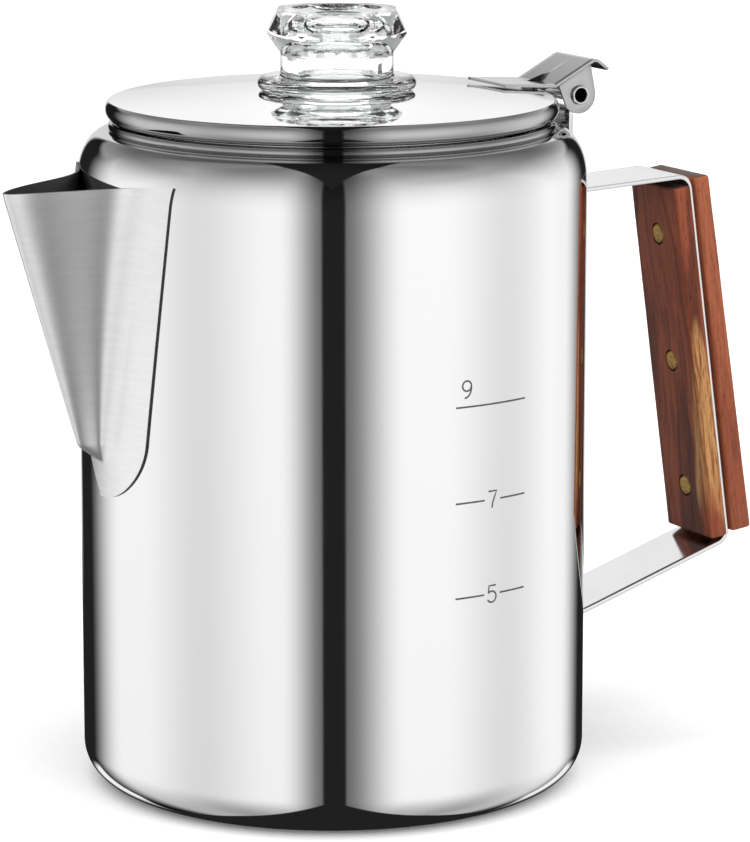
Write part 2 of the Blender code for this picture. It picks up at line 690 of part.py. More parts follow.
def make_grip(band):
    """Two wooden scales on the band's sloping leg, and the three brass pins through them."""
    top = Vector(BAND_TOP_CORNER)
    low = Vector(BAND_LOW_CORNER)
    middle = (top + low) / 2
    at = (middle.x, 0, middle.y)
    frame = add_empty("grip_frame", at, math.asin((top.x - low.x) / (top - low).length))
    face = BAND_SHEET / 2 + GAP
    half = SCALE_INNER_WIDTH / 2
    inner = block("grip_scale_inner", (-face - SCALE_INNER_THICK, -half, SCALE_INNER_ENDS[0]),
                  (-face, half, SCALE_INNER_ENDS[1]), frame, at)
    half = SCALE_OUTER_WIDTH / 2
    outer = block("grip_scale_outer", (face, -half, SCALE_OUTER_ENDS[0]),
                  (face + SCALE_OUTER_THICK[0], half, SCALE_OUTER_ENDS[1]), frame, at)
    for vertex in outer.data.vertices:
        if vertex.co.x > face + MM and vertex.co.z > 0:
            vertex.co.x = face + SCALE_OUTER_THICK[1]
    heights = [GRIP_PIN_MIDDLE + GRIP_PIN_PITCH * k for k in (1, 0, -1)]
    for scale, colour in ((inner, ROSEWOOD), (outer, REDWOOD)):
        bevel(scale, SCALE_EDGE)
        paint(scale, colour, 0.45, metallic=0.0)
    for piece, name in ((inner, "inner_drills"), (outer, "outer_drills"), (band, "band_drills")):
        drills = rods(name, [(0, 0, height) for height in heights], GRIP_PIN + GAP,
                      DRILL_LENGTH, (1, 0, 0), 20, frame, at)
        combine(piece, drills, "DIFFERENCE")
    start = -face - SCALE_INNER_THICK - GRIP_PIN_PROUD
    low, high = SCALE_OUTER_ENDS
    taper = (SCALE_OUTER_THICK[1] - SCALE_OUTER_THICK[0]) / (high - low)
    for height, name in zip(heights, ("grip_pin_top", "grip_pin_middle", "grip_pin_bottom")):
        thick = SCALE_OUTER_THICK[0] + taper * (height - low)
        end = face + thick + GRIP_PIN_PROUD
        rod = rods(name, [((start + end) / 2, 0, height)], GRIP_PIN, end - start,
                   (1, 0, 0), 24, frame, at)
        paint(rod, BRASS, 0.35)


# ---------------------------------------------------------------- pump and basket

def make_pump(pump_axis):
    """Stem tube in a bell foot, with the collar that carries the basket and a valve seat."""
    tube = [(STEM_BORE, STEM_TOP), (STEM_RADIUS, STEM_TOP),
            (STEM_RADIUS, STEM_BOTTOM), (STEM_BORE, STEM_BOTTOM)]
    stem = turned("stem_tube", tube, True, SMALL_STEPS, pump_axis)
    bore = STEM_RADIUS + GAP
    ring = [(bore, COLLAR_Z + COLLAR_HEIGHT), (COLLAR_RADIUS, COLLAR_Z + COLLAR_HEIGHT),
            (COLLAR_RADIUS, COLLAR_Z), (bore, COLLAR_Z)]
    collar = turned("stem_collar", ring, True, SMALL_STEPS, pump_axis)
    throat = bore + FOOT_SHEET
    bell = [(throat, FOOT_THROAT_TOP), (throat, FOOT_THROAT_LOW)]
    flare = (FOOT_RADIUS - FOOT_SHEET, FOOT_THROAT_LOW + 2 * FOOT_SHEET)
    bell += arc(flare, (flare[0] - throat, flare[1] - FOOT_SKIRT_TOP), 185, 268, 6)
    bell += [(FOOT_RADIUS, FOOT_Z)]
    foot = turned("pump_foot", sheet_ring(bell, FOOT_SHEET), True, SMALL_STEPS, pump_axis)
    notches = rods("foot_notches", [(0, 0, FOOT_Z)], FOOT_NOTCH, 3 * FOOT_RADIUS,
                   (1, 1, 0), 16, pump_axis)
    combine(foot, notches, "DIFFERENCE")
    plate = [(SEAT_BORE, SEAT_Z), (SEAT_RADIUS, SEAT_Z),
             (SEAT_RADIUS, SEAT_Z - FOOT_SHEET), (SEAT_BORE, SEAT_Z - FOOT_SHEET)]
    seat = turned("valve_seat", plate, True, SMALL_STEPS, pump_axis)
    for piece in (stem, collar, foot, seat):
        paint(piece, SATIN, 0.25)
        smooth(piece)


def make_washer(washer_axis):
    """Loose disc that opens and shuts the pump's inlet."""
    low = SEAT_Z + GAP
    disc = [(0.0, low + WASHER_THICK), (WASHER_RADIUS, low + WASHER_THICK),
            (WASHER_RADIUS, low), (0.0, low)]
    washer = turned("pump_washer", disc, False, SMALL_STEPS, washer_axis)
    paint(washer, STEEL, 0.3)
    smooth(washer)


def ring_points(rings, height):
    """Hole centres on rings: pairs of ring radius and hole count."""
    centres = []
    for radius, count in rings:
        for k in range(count):
            angle = 2 * math.pi * k / count
            centres.append((radius * math.cos(angle), radius * math.sin(angle), height))
    return centres


def make_basket(basket_axis):
    """Coffee basket with a pierced floor, and the sleeve that slides on the stem."""
    hole = SLEEVE_RADIUS + GAP
    path = [(BASKET_LIP, BASKET_TOP), (BASKET_RADIUS, BASKET_TOP),
            (BASKET_RADIUS, BASKET_FLOOR), (hole, BASKET_FLOOR)]
    cup_section = sheet_ring(fillet(path, BASKET_BENDS, 2), BASKET_SHEET)
    cup = turned("basket_cup", cup_section, True, BASKET_STEPS, basket_axis)
    drills = rods("basket_drills", ring_points(BASKET_RINGS, BASKET_FLOOR), SIEVE_HOLE,
                  4 * SIEVE_HOLE, (0, 0, 1), 6, basket_axis)
    combine(cup, drills, "DIFFERENCE")
    bore = SLEEVE_BORE
    low = COLLAR_Z + COLLAR_HEIGHT + GAP
    tube = [(bore, SLEEVE_TOP), (SLEEVE_RADIUS, SLEEVE_TOP), (SLEEVE_RADIUS, BASKET_FLOOR - GAP),
            (SLEEVE_FLANGE, BASKET_FLOOR - GAP), (SLEEVE_FLANGE, low), (bore, low)]
    sleeve = turned("basket_sleeve", tube, True, SMALL_STEPS, basket_axis)
    for piece in (cup, sleeve):
        paint(piece, SATIN, 0.25)
        smooth(piece)


def make_spreader(spreader_axis):
    """Pierced plate that covers the basket and spreads the water over the coffee."""
    path = [(SLEEVE_RADIUS, SPREADER_TOP + SPREADER_RISE), (SPREADER_CONE, SPREADER_TOP),
            (SPREADER_RADIUS, SPREADER_TOP), (SPREADER_RADIUS, SPREADER_TOP - SPREADER_RIM)]
    section = sheet_ring(fillet(path, SPREADER_BENDS, 2), BASKET_SHEET)
    plate = turned("spreader_plate", section, True, BASKET_STEPS, spreader_axis)
    drills = rods("spreader_drills", ring_points(SPREADER_RINGS, SPREADER_Z), SIEVE_HOLE,
                  4 * SIEVE_HOLE, (0, 0, 1), 6, spreader_axis)
    combine(plate, drills, "DIFFERENCE")
    paint(plate, SATIN, 0.25)
    smooth(plate)


def main():
    pin = (PIN_X, 0, PIN_Z)
    lid_axis = add_empty("lid_axis", pin)
    knob_axis = add_empty("knob_axis", (0, 0, 0))
    pump_axis = add_empty("pump_axis", (0, 0, 0))
    make_pot()
    make_spout()
    make_upright()
    make_hinge_pin(pin)
    make_lid(lid_axis)
    make_skirt(lid_axis)
    make_lever(lid_axis, pin)
    make_knob(knob_axis)
    make_grip(make_band())
    make_pump(pump_axis)
    make_washer(add_empty("washer_axis", (0, 0, 0)))
    make_basket(add_empty("basket_axis", (0, 0, 0)))
    make_spreader(add_empty("spreader_axis", (0, 0, 0)))


clear_scene()
PIECES = new_collection("coffee_percolator")
CUTTERS = new_collection("cutters")
main()
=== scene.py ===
"""Looks of the stovetop coffee percolator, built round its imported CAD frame. Metres, +Z up.

The pot's axis is the Z axis, the spout points along -X and the handle along +X.
Angles round the pot named `bearing` are degrees to the right of the side that faces the camera.
"""

import math

import bmesh
import bpy
from mathutils import Matrix, Vector, noise


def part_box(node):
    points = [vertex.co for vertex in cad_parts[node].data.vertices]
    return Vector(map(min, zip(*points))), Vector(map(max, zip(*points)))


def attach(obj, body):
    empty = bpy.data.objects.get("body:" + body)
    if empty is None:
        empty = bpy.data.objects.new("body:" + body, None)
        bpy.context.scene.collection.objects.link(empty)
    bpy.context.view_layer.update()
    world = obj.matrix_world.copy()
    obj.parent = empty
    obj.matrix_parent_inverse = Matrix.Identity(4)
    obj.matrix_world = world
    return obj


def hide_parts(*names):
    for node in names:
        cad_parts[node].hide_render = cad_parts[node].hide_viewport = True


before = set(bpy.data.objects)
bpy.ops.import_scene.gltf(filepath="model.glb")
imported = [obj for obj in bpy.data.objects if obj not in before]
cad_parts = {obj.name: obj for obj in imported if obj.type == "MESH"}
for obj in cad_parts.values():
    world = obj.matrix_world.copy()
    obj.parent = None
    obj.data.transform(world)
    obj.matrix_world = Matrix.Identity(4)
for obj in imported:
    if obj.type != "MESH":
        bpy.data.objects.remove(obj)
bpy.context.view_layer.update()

MM = 0.001
RING_STEPS = 192                    # facets round a large shell
SMALL_STEPS = 64                    # facets round a tube or a rivet
CONTACT = 0.05 * MM                 # gap left where two pieces touch

# Camera, seen from the spout's right-hand side
CAMERA_PLACE = (-0.5117, -0.9624, 0.3145)
CAMERA_DOWN = 11.43                 # degrees below the horizon
CAMERA_BEARING = 28.0               # degrees between the camera's side and the -Y axis
CAMERA_AIM = 0.58                   # degrees the camera looks to the right of the pot's axis
CAMERA_LENS = 181.6                 # on a 36 mm sensor
FRONT = math.radians(-90 - CAMERA_BEARING)          # polar angle of the side that faces the camera

# Studio: brightness of each soft box, then degrees from the front where it opens, where it closes
# and where it is dimmest
LEFT_BOX = (1.02, (4.0, 24.0), (112.0, 147.0), 62.0)
RIGHT_BOX = (1.06, (5.0, 34.0), (126.0, 155.0), 85.0)
SOFT_BOX_EDGE = 0.17                # brightness at its crisp near edge
SOFT_BOX_DIP = (35.0, 0.78)         # half-width in degrees and brightness share of its dim middle
DARK = 0.016                        # of the studio beyond its lights
GLASS_VEIL = 0.45                   # share of plain light that is seen through the glass

# Pot
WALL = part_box("pot_body")[1].x
RIM_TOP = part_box("pot_body")[1].z
SHEET = 0.8 * MM
BASE_CORNER = 10.0 * MM
SHOULDER = (9.0 * MM, 14.0 * MM)    # the shoulder's round is taller than it is wide
SHOULDER_TOP = 171.5 * MM
SHOULDER_POWER = 2.3                # 2 is an ellipse, and more is fuller
POT_SHADE = ((0.1680, 0.90), (0.1725, 0.40))        # height, tint: painted shade, dark in the gap under the lid
NECK = 56.4 * MM
RIM_BEAD = 1.15 * MM
STRAINER_HOLE = 1.9 * MM
STRAINER_PITCH = 6.4 * MM
STRAINER_ROWS = (104.0 * MM, 155.0 * MM)

# Spout
SPOUT_SHEET = 0.55 * MM
SPOUT_TIP = 160.5 * MM              # height of the rim at the ridge
SPOUT_RIM_RISE = 2.8 * MM           # the rim climbs by this from the ridge to the flange's corner
SPOUT_BOTTOM = 81.0 * MM
SPOUT_REACH = 92.2 * MM             # ridge distance from the pot's axis at the tip
SPOUT_SLOPE = 0.2955                # outward run of the ridge for each unit of height
SPOUT_FOOT = 90.5 * MM              # where the fold runs out into the wall
SPOUT_KNEE = 4.5 * MM
FOLD_ZERO = 83.0 * MM
FOLD_SLOPE = 0.186                  # half-width of the fold for each unit of height
FOLD_LEAST = 1.4 * MM
FOLD_KNEE = (0.42, 0.27)            # width and depth shares where the nose turns into the flank
FOLD_PART = 0.6                     # share of the rim that is fold, and not flange
SOFTEN_PASSES = 75                  # how far the fold's bends are rounded
FLANGE_HALF_TOP = 29.2 * MM
FLANGE_FAR_SHARE = 0.94             # width of the far flange against the near one
FLANGE_SLOPE = 0.148
FLANGE_ROUND_Z = 97.0 * MM
FLANGE_TAPER_Z = 108.0 * MM

# Lid
LID_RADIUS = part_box("lid_plate")[1].x
LID_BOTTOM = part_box("lid_plate")[0].z
LID_TOP = 181.5 * MM
LID_DOME = 57.0 * MM
LID_DOME_DROP = 2.34 * MM
LID_TIP_Z = 176.8 * MM
LID_CURL = 56.0 * MM
LID_HOLE = 13.7 * MM
LID_SHADE = ((0.1784, 0.50), (0.1791, 0.93))        # height, tint: painted shade, dark where the edge rolls over
LID_CROWN = 2.0                     # how much steeper the dome reflects than it is
SKIRT_RADIUS = 54.9 * MM
SKIRT_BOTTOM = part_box("lid_skirt")[0].z
SKIRT_INNER = 46.0 * MM

# Glass knob
KNOB_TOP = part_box("glass_knob")[1].z
KNOB_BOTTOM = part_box("glass_knob")[0].z
KNOB_X = 1.1 * MM                   # the knob rests to one side of its hole
KNOB_Y = -0.6 * MM
KNOB_RIM = 16.8 * MM                # of the round crown before its facets are cut
KNOB_WIDEST = 20.2 * MM
KNOB_WIDEST_Z = 198.9 * MM
KNOB_NECK = 14.6 * MM
KNOB_NECK_TOP = 190.9 * MM
KNOB_FLANGE = 20.5 * MM
KNOB_FLANGE_TOP = 184.9 * MM
KNOB_SPIGOT = 12.3 * MM
KNOB_BORE = 10.3 * MM
KNOB_CAVITY_TOP = 197.4 * MM
KNOB_SEEDS_Z = 196.3 * MM
KNOB_RIPPLE_Z = (190.0 * MM, 193.0 * MM)            # the crown ripples more than the neck
FACET_HALF_WIDTH = 8.3 * MM
FACET_TOP = 15.1 * MM
FACET_TAPER = 0.476
LUG_REACH = 16.0 * MM
LUG_HALF_WIDTH = 3.0 * MM

# Hinge
PIN_X = 68.7 * MM
PIN_Z = 176.9 * MM
PIN_RADIUS = 2.1 * MM
PIN_BORE = 1.8 * MM
PIN_HEAD = 2.5 * MM
LEVER_WIDTH = 19.6 * MM
LEVER_SHEET = 0.75 * MM
LEVER_EAR = 4.95 * MM
UPRIGHT_WIDTH = 17.0 * MM
UPRIGHT_SHEET = 1.2 * MM
UPRIGHT_EAR = 3.6 * MM
UPRIGHT_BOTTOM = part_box("hinge_upright")[0].z
UPRIGHT_TOP = 174.0 * MM

# Handle
BAND_WIDTH = 21.0 * MM
BAND_SHEET = 1.2 * MM
BAND_TOP_ROOT = 151.35 * MM
BAND_TOP_CORNER = (103.2 * MM, 153.15 * MM)
BAND_LOW_CORNER = (117.4 * MM, 51.8 * MM)
BAND_LOW_ROOT = 35.05 * MM
BAND_TAB = 12.5 * MM
BAND_BEND = 3.9 * MM
SCALE_INNER_WIDTH = 22.6 * MM
SCALE_INNER_THICK = 5.1 * MM
SCALE_INNER_ENDS = (-49.9 * MM, 48.7 * MM)
SCALE_OUTER_WIDTH = 24.0 * MM
SCALE_OUTER_THICK = (6.0 * MM, 4.4 * MM)            # at its lower and upper end
SCALE_OUTER_ENDS = (-49.1 * MM, 50.6 * MM)
GRIP_PIN = 2.7 * MM
GRIP_PIN_HOLE = 3.05 * MM
GRIP_PIN_MIDDLE = -0.8 * MM
GRIP_PIN_PITCH = 35.7 * MM

# Pump and basket
STEM_RADIUS = 4.5 * MM
STEM_BORE = 3.8 * MM
STEM_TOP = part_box("stem_tube")[1].z
STEM_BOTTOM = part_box("stem_tube")[0].z
FOOT_RADIUS = 32.0 * MM
BASKET_RADIUS = 49.5 * MM
BASKET_FLOOR = 117.2 * MM
BASKET_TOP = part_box("basket_cup")[1].z
BASKET_SHEET = 0.7 * MM
SPREADER_RADIUS = 52.0 * MM
SPREADER_Z = 164.6 * MM
SIEVE_HOLE = 0.9 * MM


# ---------------------------------------------------------------- mesh helpers

def arc(centre, radii, start, end, steps):
    """Points of an elliptical arc, from one angle to another in degrees."""
    points = []
    for i in range(steps + 1):
        angle = math.radians(start + (end - start) * i / steps)
        points.append((centre[0] + radii[0] * math.cos(angle),
                       centre[1] + radii[1] * math.sin(angle)))
    return points


def offset_path(path, distance):
    """The path moved to its right-hand side: inwards, where it runs down a wall."""
    moved = []
    for i, point in enumerate(path):
        here = Vector(point)
        before = Vector(path[max(i - 1, 0)])
        after = Vector(path[min(i + 1, len(path) - 1)])
        into = (here - before) if i > 0 else (after - here)
        out = (after - here) if i < len(path) - 1 else into
        into.normalize()
        out.normalize()
        middle = (into + out).normalized()
        reach = distance / max(middle.dot(into), 0.5)
        moved.append((here.x + middle.y * reach, here.y - middle.x * reach))
    return moved


def sheet_ring(path, thickness):
    """Closed section of a sheet whose outer face follows the path, with softened edges."""
    inner = offset_path(path, thickness)
    rounded = []
    for near, far, towards in ((path[-1], inner[-1], path[-2]), (inner[0], path[0], path[1])):
        near, far = Vector(near), Vector(far)
        before = Vector(towards)
        if near != Vector(path[-1]):
            before = before + near - far
        edge = near - before
        bulge = edge.normalized() * thickness * 0.3
        rounded.append([tuple(near.lerp(far, 0.2) + bulge), tuple(near.lerp(far, 0.8) + bulge)])
    return path + rounded[0] + inner[::-1] + rounded[1]


def fillet(points, radii, steps=8):
    """Round the inner corners of a path."""
    rounded = [points[0]]
    for i in range(1, len(points) - 1):
        corner = Vector(points[i])
        to_last = (Vector(points[i - 1]) - corner).normalized()
        to_next = (Vector(points[i + 1]) - corner).normalized()
        half = to_last.angle(to_next) / 2
        run = radii[i - 1] / math.tan(half)
        centre = corner + (to_last + to_next).normalized() * radii[i - 1] / math.sin(half)
        first = corner + to_last * run - centre
        last = corner + to_next * run - centre
        for k in range(steps + 1):
            spoke = first.lerp(last, k / steps).normalized() * radii[i - 1]
            rounded.append((centre.x + spoke.x, centre.y + spoke.y))
    rounded.append(points[-1])
    return rounded


def divide(path, step):
    """The path with points added so that none are further apart than the step."""
    finer = [path[0]]
    for start, end in zip(path, path[1:]):
        pieces = max(1, math.ceil((Vector(end) - Vector(start)).length / step))
        for k in range(1, pieces + 1):
            finer.append(tuple(Vector(start).lerp(Vector(end), k / pieces)))
    return finer


def mesh_of(build, name):
    bmesh.ops.remove_doubles(build, verts=build.verts, dist=0.000001)
    bmesh.ops.recalc_face_normals(build, faces=build.faces)
    mesh = bpy.data.meshes.new(name)
    build.to_mesh(mesh)
    build.free()
    return mesh


def add(name, mesh):
    piece = bpy.data.objects.new(name, mesh)
    bpy.context.scene.collection.objects.link(piece)
    return piece


def turned(name, section, closed=False, steps=RING_STEPS):
    """A section of (radius, height) points turned round the vertical axis."""
    build = bmesh.new()
    rings = []
    for radius, height in section:
        if radius < 0.001 * MM:
            rings.append([build.verts.new((0, 0, height))])
            continue
        ring = []
        for k in range(steps):
            angle = 2 * math.pi * k / steps
            x, y = radius * math.cos(angle), radius * math.sin(angle)
            ring.append(build.verts.new((x, y, height)))
        rings.append(ring)
    following = rings[1:] + (rings[:1] if closed else [])
    for ring, other in zip(rings, following):
        for k in range(steps):
            after = (k + 1) % steps
            corners = [ring[k % len(ring)], ring[after % len(ring)],
                       other[after % len(other)], other[k % len(other)]]
            build.faces.new(list(dict.fromkeys(corners)))
    return add(name, mesh_of(build, name))


def skin(name, rows):
    """A surface through rows of points, all rows as long as each other."""
    build = bmesh.new()
    grid = [[build.verts.new(point) for point in row] for row in rows]
    for upper, lower in zip(grid, grid[1:]):
        for i in range(len(upper) - 1):
            build.faces.new((upper[i], upper[i + 1], lower[i + 1], lower[i]))
    return add(name, mesh_of(build, name))


def strip(name, path, width, thickness, cuts=12):
    """A bent strip: the path in the XZ plane, spread along Y and thickened both ways."""
    rows = []
    for k in range(cuts + 1):
        y = width * (k / cuts - 0.5)
        rows.append([(x, y, z) for x, z in path])
    piece = skin(name, rows)
    thicken(piece, thickness, 0.0)
    return piece


def plate(name, outline, thickness, middle_y):
    """A flat plate from an outline in the XZ plane."""
    build = bmesh.new()
    sides = []
    for y in (middle_y - thickness / 2, middle_y + thickness / 2):
        sides.append([build.verts.new((x, y, z)) for x, z in outline])
    build.faces.new(sides[0])
    build.faces.new(sides[1][::-1])
    for k in range(len(outline)):
        after = (k + 1) % len(outline)
        build.faces.new((sides[0][k], sides[1][k], sides[1][after], sides[0][after]))
    return add(name, mesh_of(build, name))


def block(name, low, high):
    build = bmesh.new()
    bmesh.ops.create_cube(build, size=1.0)
    size = Vector(high) - Vector(low)
    bmesh.ops.scale(build, verts=build.verts, vec=size)
    bmesh.ops.translate(build, verts=build.verts, vec=Vector(low) + size / 2)
    return add(name, mesh_of(build, name))


def rods(name, centres, radius, length, direction, steps=24):
    """Equal cylinders along one direction, used as drills."""
    turn = Vector((0, 0, 1)).rotation_difference(Vector(direction)).to_matrix().to_4x4()
    build = bmesh.new()
    for centre in centres:
        bmesh.ops.create_cone(build, cap_ends=True, segments=steps, radius1=radius, radius2=radius,
                              depth=length, matrix=Matrix.Translation(centre) @ turn)
    return add(name, mesh_of(build, name))


def thicken(piece, thickness, offset):
    solid = piece.modifiers.new("sheet", "SOLIDIFY")
    solid.thickness = thickness
    solid.offset = offset
    solid.use_even_offset = True


def round_edges(piece, width, segments=3, angle=30):
    edge = piece.modifiers.new("edges", "BEVEL")
    edge.width = width
    edge.segments = segments
    edge.limit_method = "ANGLE"
    edge.angle_limit = math.radians(angle)
    edge.harden_normals = False


def settle(piece):
    """Turn a piece's modifiers into plain mesh."""
    bpy.context.view_layer.update()
    shape = piece.evaluated_get(bpy.context.evaluated_depsgraph_get())
    mesh = bpy.data.meshes.new_from_object(shape)
    piece.modifiers.clear()
    piece.data = mesh


def combine(piece, tool, operation):
    """Cut, join or intersect a piece with a tool, which is used up."""
    step = piece.modifiers.new("combine", "BOOLEAN")
    step.operation = operation
    step.solver = "EXACT"
    step.object = tool
    settle(piece)
    bpy.data.objects.remove(tool, do_unlink=True)


def bend_points(piece, move):
    """Move every point of a settled mesh by a rule."""
    for vertex in piece.data.vertices:
        vertex.co = move(vertex.co)
    piece.data.update()


def finish_piece(piece, material, body, slot, *nodes, sharp=32):
    """Smooth the piece but for its sharp edges, give it its material and seat it on its body."""
    settle(piece)
    piece.data.shade_smooth()
    piece.data.set_sharp_from_angle(angle=math.radians(sharp))
    if material is not None:
        piece.data.materials.clear()
        piece.data.materials.append(material)
    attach(piece, body)
    if nodes:
        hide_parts(*nodes)
    return piece


# ---------------------------------------------------------------- material helpers

class Shader:
    """Short calls for building a node tree."""

    def __init__(self, tree):
        self.tree = tree

    def node(self, kind, inputs=None, **settings):
        made = self.tree.nodes.new(kind)
        for key, value in settings.items():
            setattr(made, key, value)
        for key, value in (inputs or {}).items():
            self.plug(value, made.inputs[key])
        return made

    def plug(self, value, socket):
        if isinstance(value, bpy.types.NodeSocket):
            self.tree.links.new(value, socket)
        else:
            socket.default_value = value

    def math(self, operation, first, second=0.0, third=0.0):
        made = self.node("ShaderNodeMath", {0: first, 1: second, 2: third}, operation=operation)
        return made.outputs[0]

    def dot(self, first, second):
        return self.node("ShaderNodeVectorMath", {0: first, 1: second},
                         operation="DOT_PRODUCT").outputs["Value"]

    def step(self, value, start, end, low=0.0, high=1.0):
        """Smooth step from low at start to high at end."""
        made = self.node("ShaderNodeMapRange", {"Value": value, "From Min": start, "From Max": end,
                                                "To Min": low, "To Max": high},
                         interpolation_type="SMOOTHSTEP")
        return made.outputs["Result"]

    def ramp(self, value, stops, ease="EASE"):
        """Stops are pairs of place and colour, or place and grey."""
        made = self.node("ShaderNodeValToRGB", {"Fac": value})
        made.color_ramp.interpolation = ease
        elements = made.color_ramp.elements
        while len(elements) < len(stops):
            elements.new(0.5)
        for element, (place, colour) in zip(elements, stops):
            element.position = place
            colour = colour if isinstance(colour, tuple) else (colour,) * 3
            element.color = (*colour, 1)
        return made.outputs["Color"]

    def mix(self, share, first, second, blend="MIX"):
        made = self.node("ShaderNodeMix", data_type="RGBA", blend_type=blend)
        self.plug(share, made.inputs["Factor"])
        self.plug(first, made.inputs["A"])
        self.plug(second, made.inputs["B"])
        return made.outputs["Result"]

    def noise(self, vector, scale, detail=3.0, rough=0.5):
        made = self.node("ShaderNodeTexNoise", {"Vector": vector, "Scale": scale, "Detail": detail,
                                                "Roughness": rough, "Distortion": 0.0})
        return made.outputs["Fac"]

    def stretch(self, vector, scale):
        made = self.node("ShaderNodeMapping", {"Vector": vector, "Scale": scale})
        return made.outputs["Vector"]

    def bump(self, height, strength, distance, normal=None):
        inputs = {"Height": height, "Strength": strength, "Distance": distance}
        if normal is not None:
            inputs["Normal"] = normal
        return self.node("ShaderNodeBump", inputs).outputs["Normal"]


def new_material(name):
    material = bpy.data.materials.new(name)
    material.use_nodes = True
    shader = Shader(material.node_tree)
    surface = material.node_tree.nodes["Principled BSDF"]
    place = shader.node("ShaderNodeTexCoord").outputs["Object"]
    return material, shader, surface, place


def mirror_steel(name="mirror_steel", tint=0.9, rough=(0.035, 0.06), shade=(), crown=0.0):
    """Polished steel with the faint haze and hairlines that polishing leaves.

    Shade is a list of (height, tint) pairs of painted shade, for places that only see their dark
    neighbours.
    Crown makes a pressed disc reflect as if it fell away from its middle a little faster.
    """
    material, shader, surface, place = new_material(name)
    haze = shader.noise(place, 45.0, 4.0)
    colour = (tint, tint, tint * 1.005, 1)
    # Painted shade: the base colour follows the shade pairs by height
    if shade:
        low, high = shade[0][0], shade[-1][0]
        parts = shader.node("ShaderNodeSeparateXYZ", {"Vector": place})
        level = shader.math("DIVIDE", shader.math("SUBTRACT", parts.outputs["Z"], low), high - low)
        stops = [((height - low) / (high - low), grey) for height, grey in shade]
        colour = shader.ramp(level, stops, "LINEAR")
    shader.plug(1.0, surface.inputs["Metallic"])
    shader.plug(colour, surface.inputs["Base Color"])
    shader.plug(shader.step(haze, 0.3, 0.7, *rough), surface.inputs["Roughness"])
    hairlines = shader.noise(shader.stretch(place, (1, 1, 0.02)), 900.0, 2.0)
    normal = None
    if crown:
        outwards = shader.node("ShaderNodeVectorMath", {0: place, 1: (crown, crown, 0.0)},
                               operation="MULTIPLY").outputs["Vector"]
        outwards = shader.node("ShaderNodeVectorTransform", {"Vector": outwards},
                               vector_type="VECTOR", convert_from="OBJECT",
                               convert_to="WORLD").outputs["Vector"]
        normal = shader.node("ShaderNodeNewGeometry").outputs["Normal"]
        normal = shader.node("ShaderNodeVectorMath", {0: normal, 1: outwards},
                             operation="ADD").outputs["Vector"]
        normal = shader.node("ShaderNodeVectorMath", {0: normal},
                             operation="NORMALIZE").outputs["Vector"]
    shader.plug(shader.bump(hairlines, 0.03, 0.02 * MM, normal), surface.inputs["Normal"])
    return material


def satin_steel(name, grain, tint=0.78, rough=0.27, strength=0.25, metallic=1.0):
    """Brushed steel. The grain gives the stretch of the brushing along each axis."""
    material, shader, surface, place = new_material(name)
    lines = shader.noise(shader.stretch(place, grain), 900.0, 4.0, 0.6)
    cloud = shader.noise(place, 60.0, 3.0)
    tone = shader.ramp(lines, ((0.3, tint * 0.97), (0.7, tint * 1.02)))
    shader.plug(metallic, surface.inputs["Metallic"])
    shader.plug(tone, surface.inputs["Base Color"])
    roughness = shader.step(cloud, 0.1, 0.9, rough * 0.95, rough * 1.05)
    shader.plug(roughness, surface.inputs["Roughness"])
    shader.plug(shader.bump(lines, strength, 0.03 * MM), surface.inputs["Normal"])
    return material


def etched_steel(name="etched_steel", low=0.05, high=0.17):
    """Dull dark grey of the stamped graduation; on the spout's cut edge it is painted shade."""
    material, shader, surface, place = new_material(name)
    grit = shader.noise(place, 3000.0, 3.0)
    shader.plug(0.6, surface.inputs["Metallic"])
    shader.plug(shader.ramp(grit, ((0.3, low), (0.7, high))), surface.inputs["Base Color"])
    shader.plug(0.45, surface.inputs["Roughness"])
    shader.plug(shader.bump(grit, 0.5, 0.03 * MM), surface.inputs["Normal"])
    return material


def clear_glass():
    """Pressed glass, rippled all over, with a row of seeds near the crown's widest level."""
    material, shader, surface, place = new_material("clear_glass")
    parts = shader.node("ShaderNodeSeparateXYZ", {"Vector": place})
    level = shader.math("ABSOLUTE", shader.math("SUBTRACT", parts.outputs["Z"], KNOB_SEEDS_Z))
    seeds = shader.node("ShaderNodeTexVoronoi", {"Vector": place, "Scale": 420.0},
                        feature="SMOOTH_F1")
    seeds = shader.math("MULTIPLY", seeds.outputs["Distance"],
                        shader.step(level, 1.5 * MM, 0.4 * MM))
    crown = shader.step(parts.outputs["Z"], *KNOB_RIPPLE_Z, 0.6, 1.3)
    ripple = shader.math("MULTIPLY", shader.noise(place, 330.0, 3.0), crown)
    ripple = shader.math("MULTIPLY_ADD", seeds, 3.0, ripple)
    shader.plug((0.97, 0.985, 0.985, 1), surface.inputs["Base Color"])
    shader.plug(1.0, surface.inputs["Transmission Weight"])
    shader.plug(0.0, surface.inputs["Roughness"])
    shader.plug(1.5, surface.inputs["IOR"])
    shader.plug(shader.bump(ripple, 0.12, 0.6 * MM), surface.inputs["Normal"])
    return material


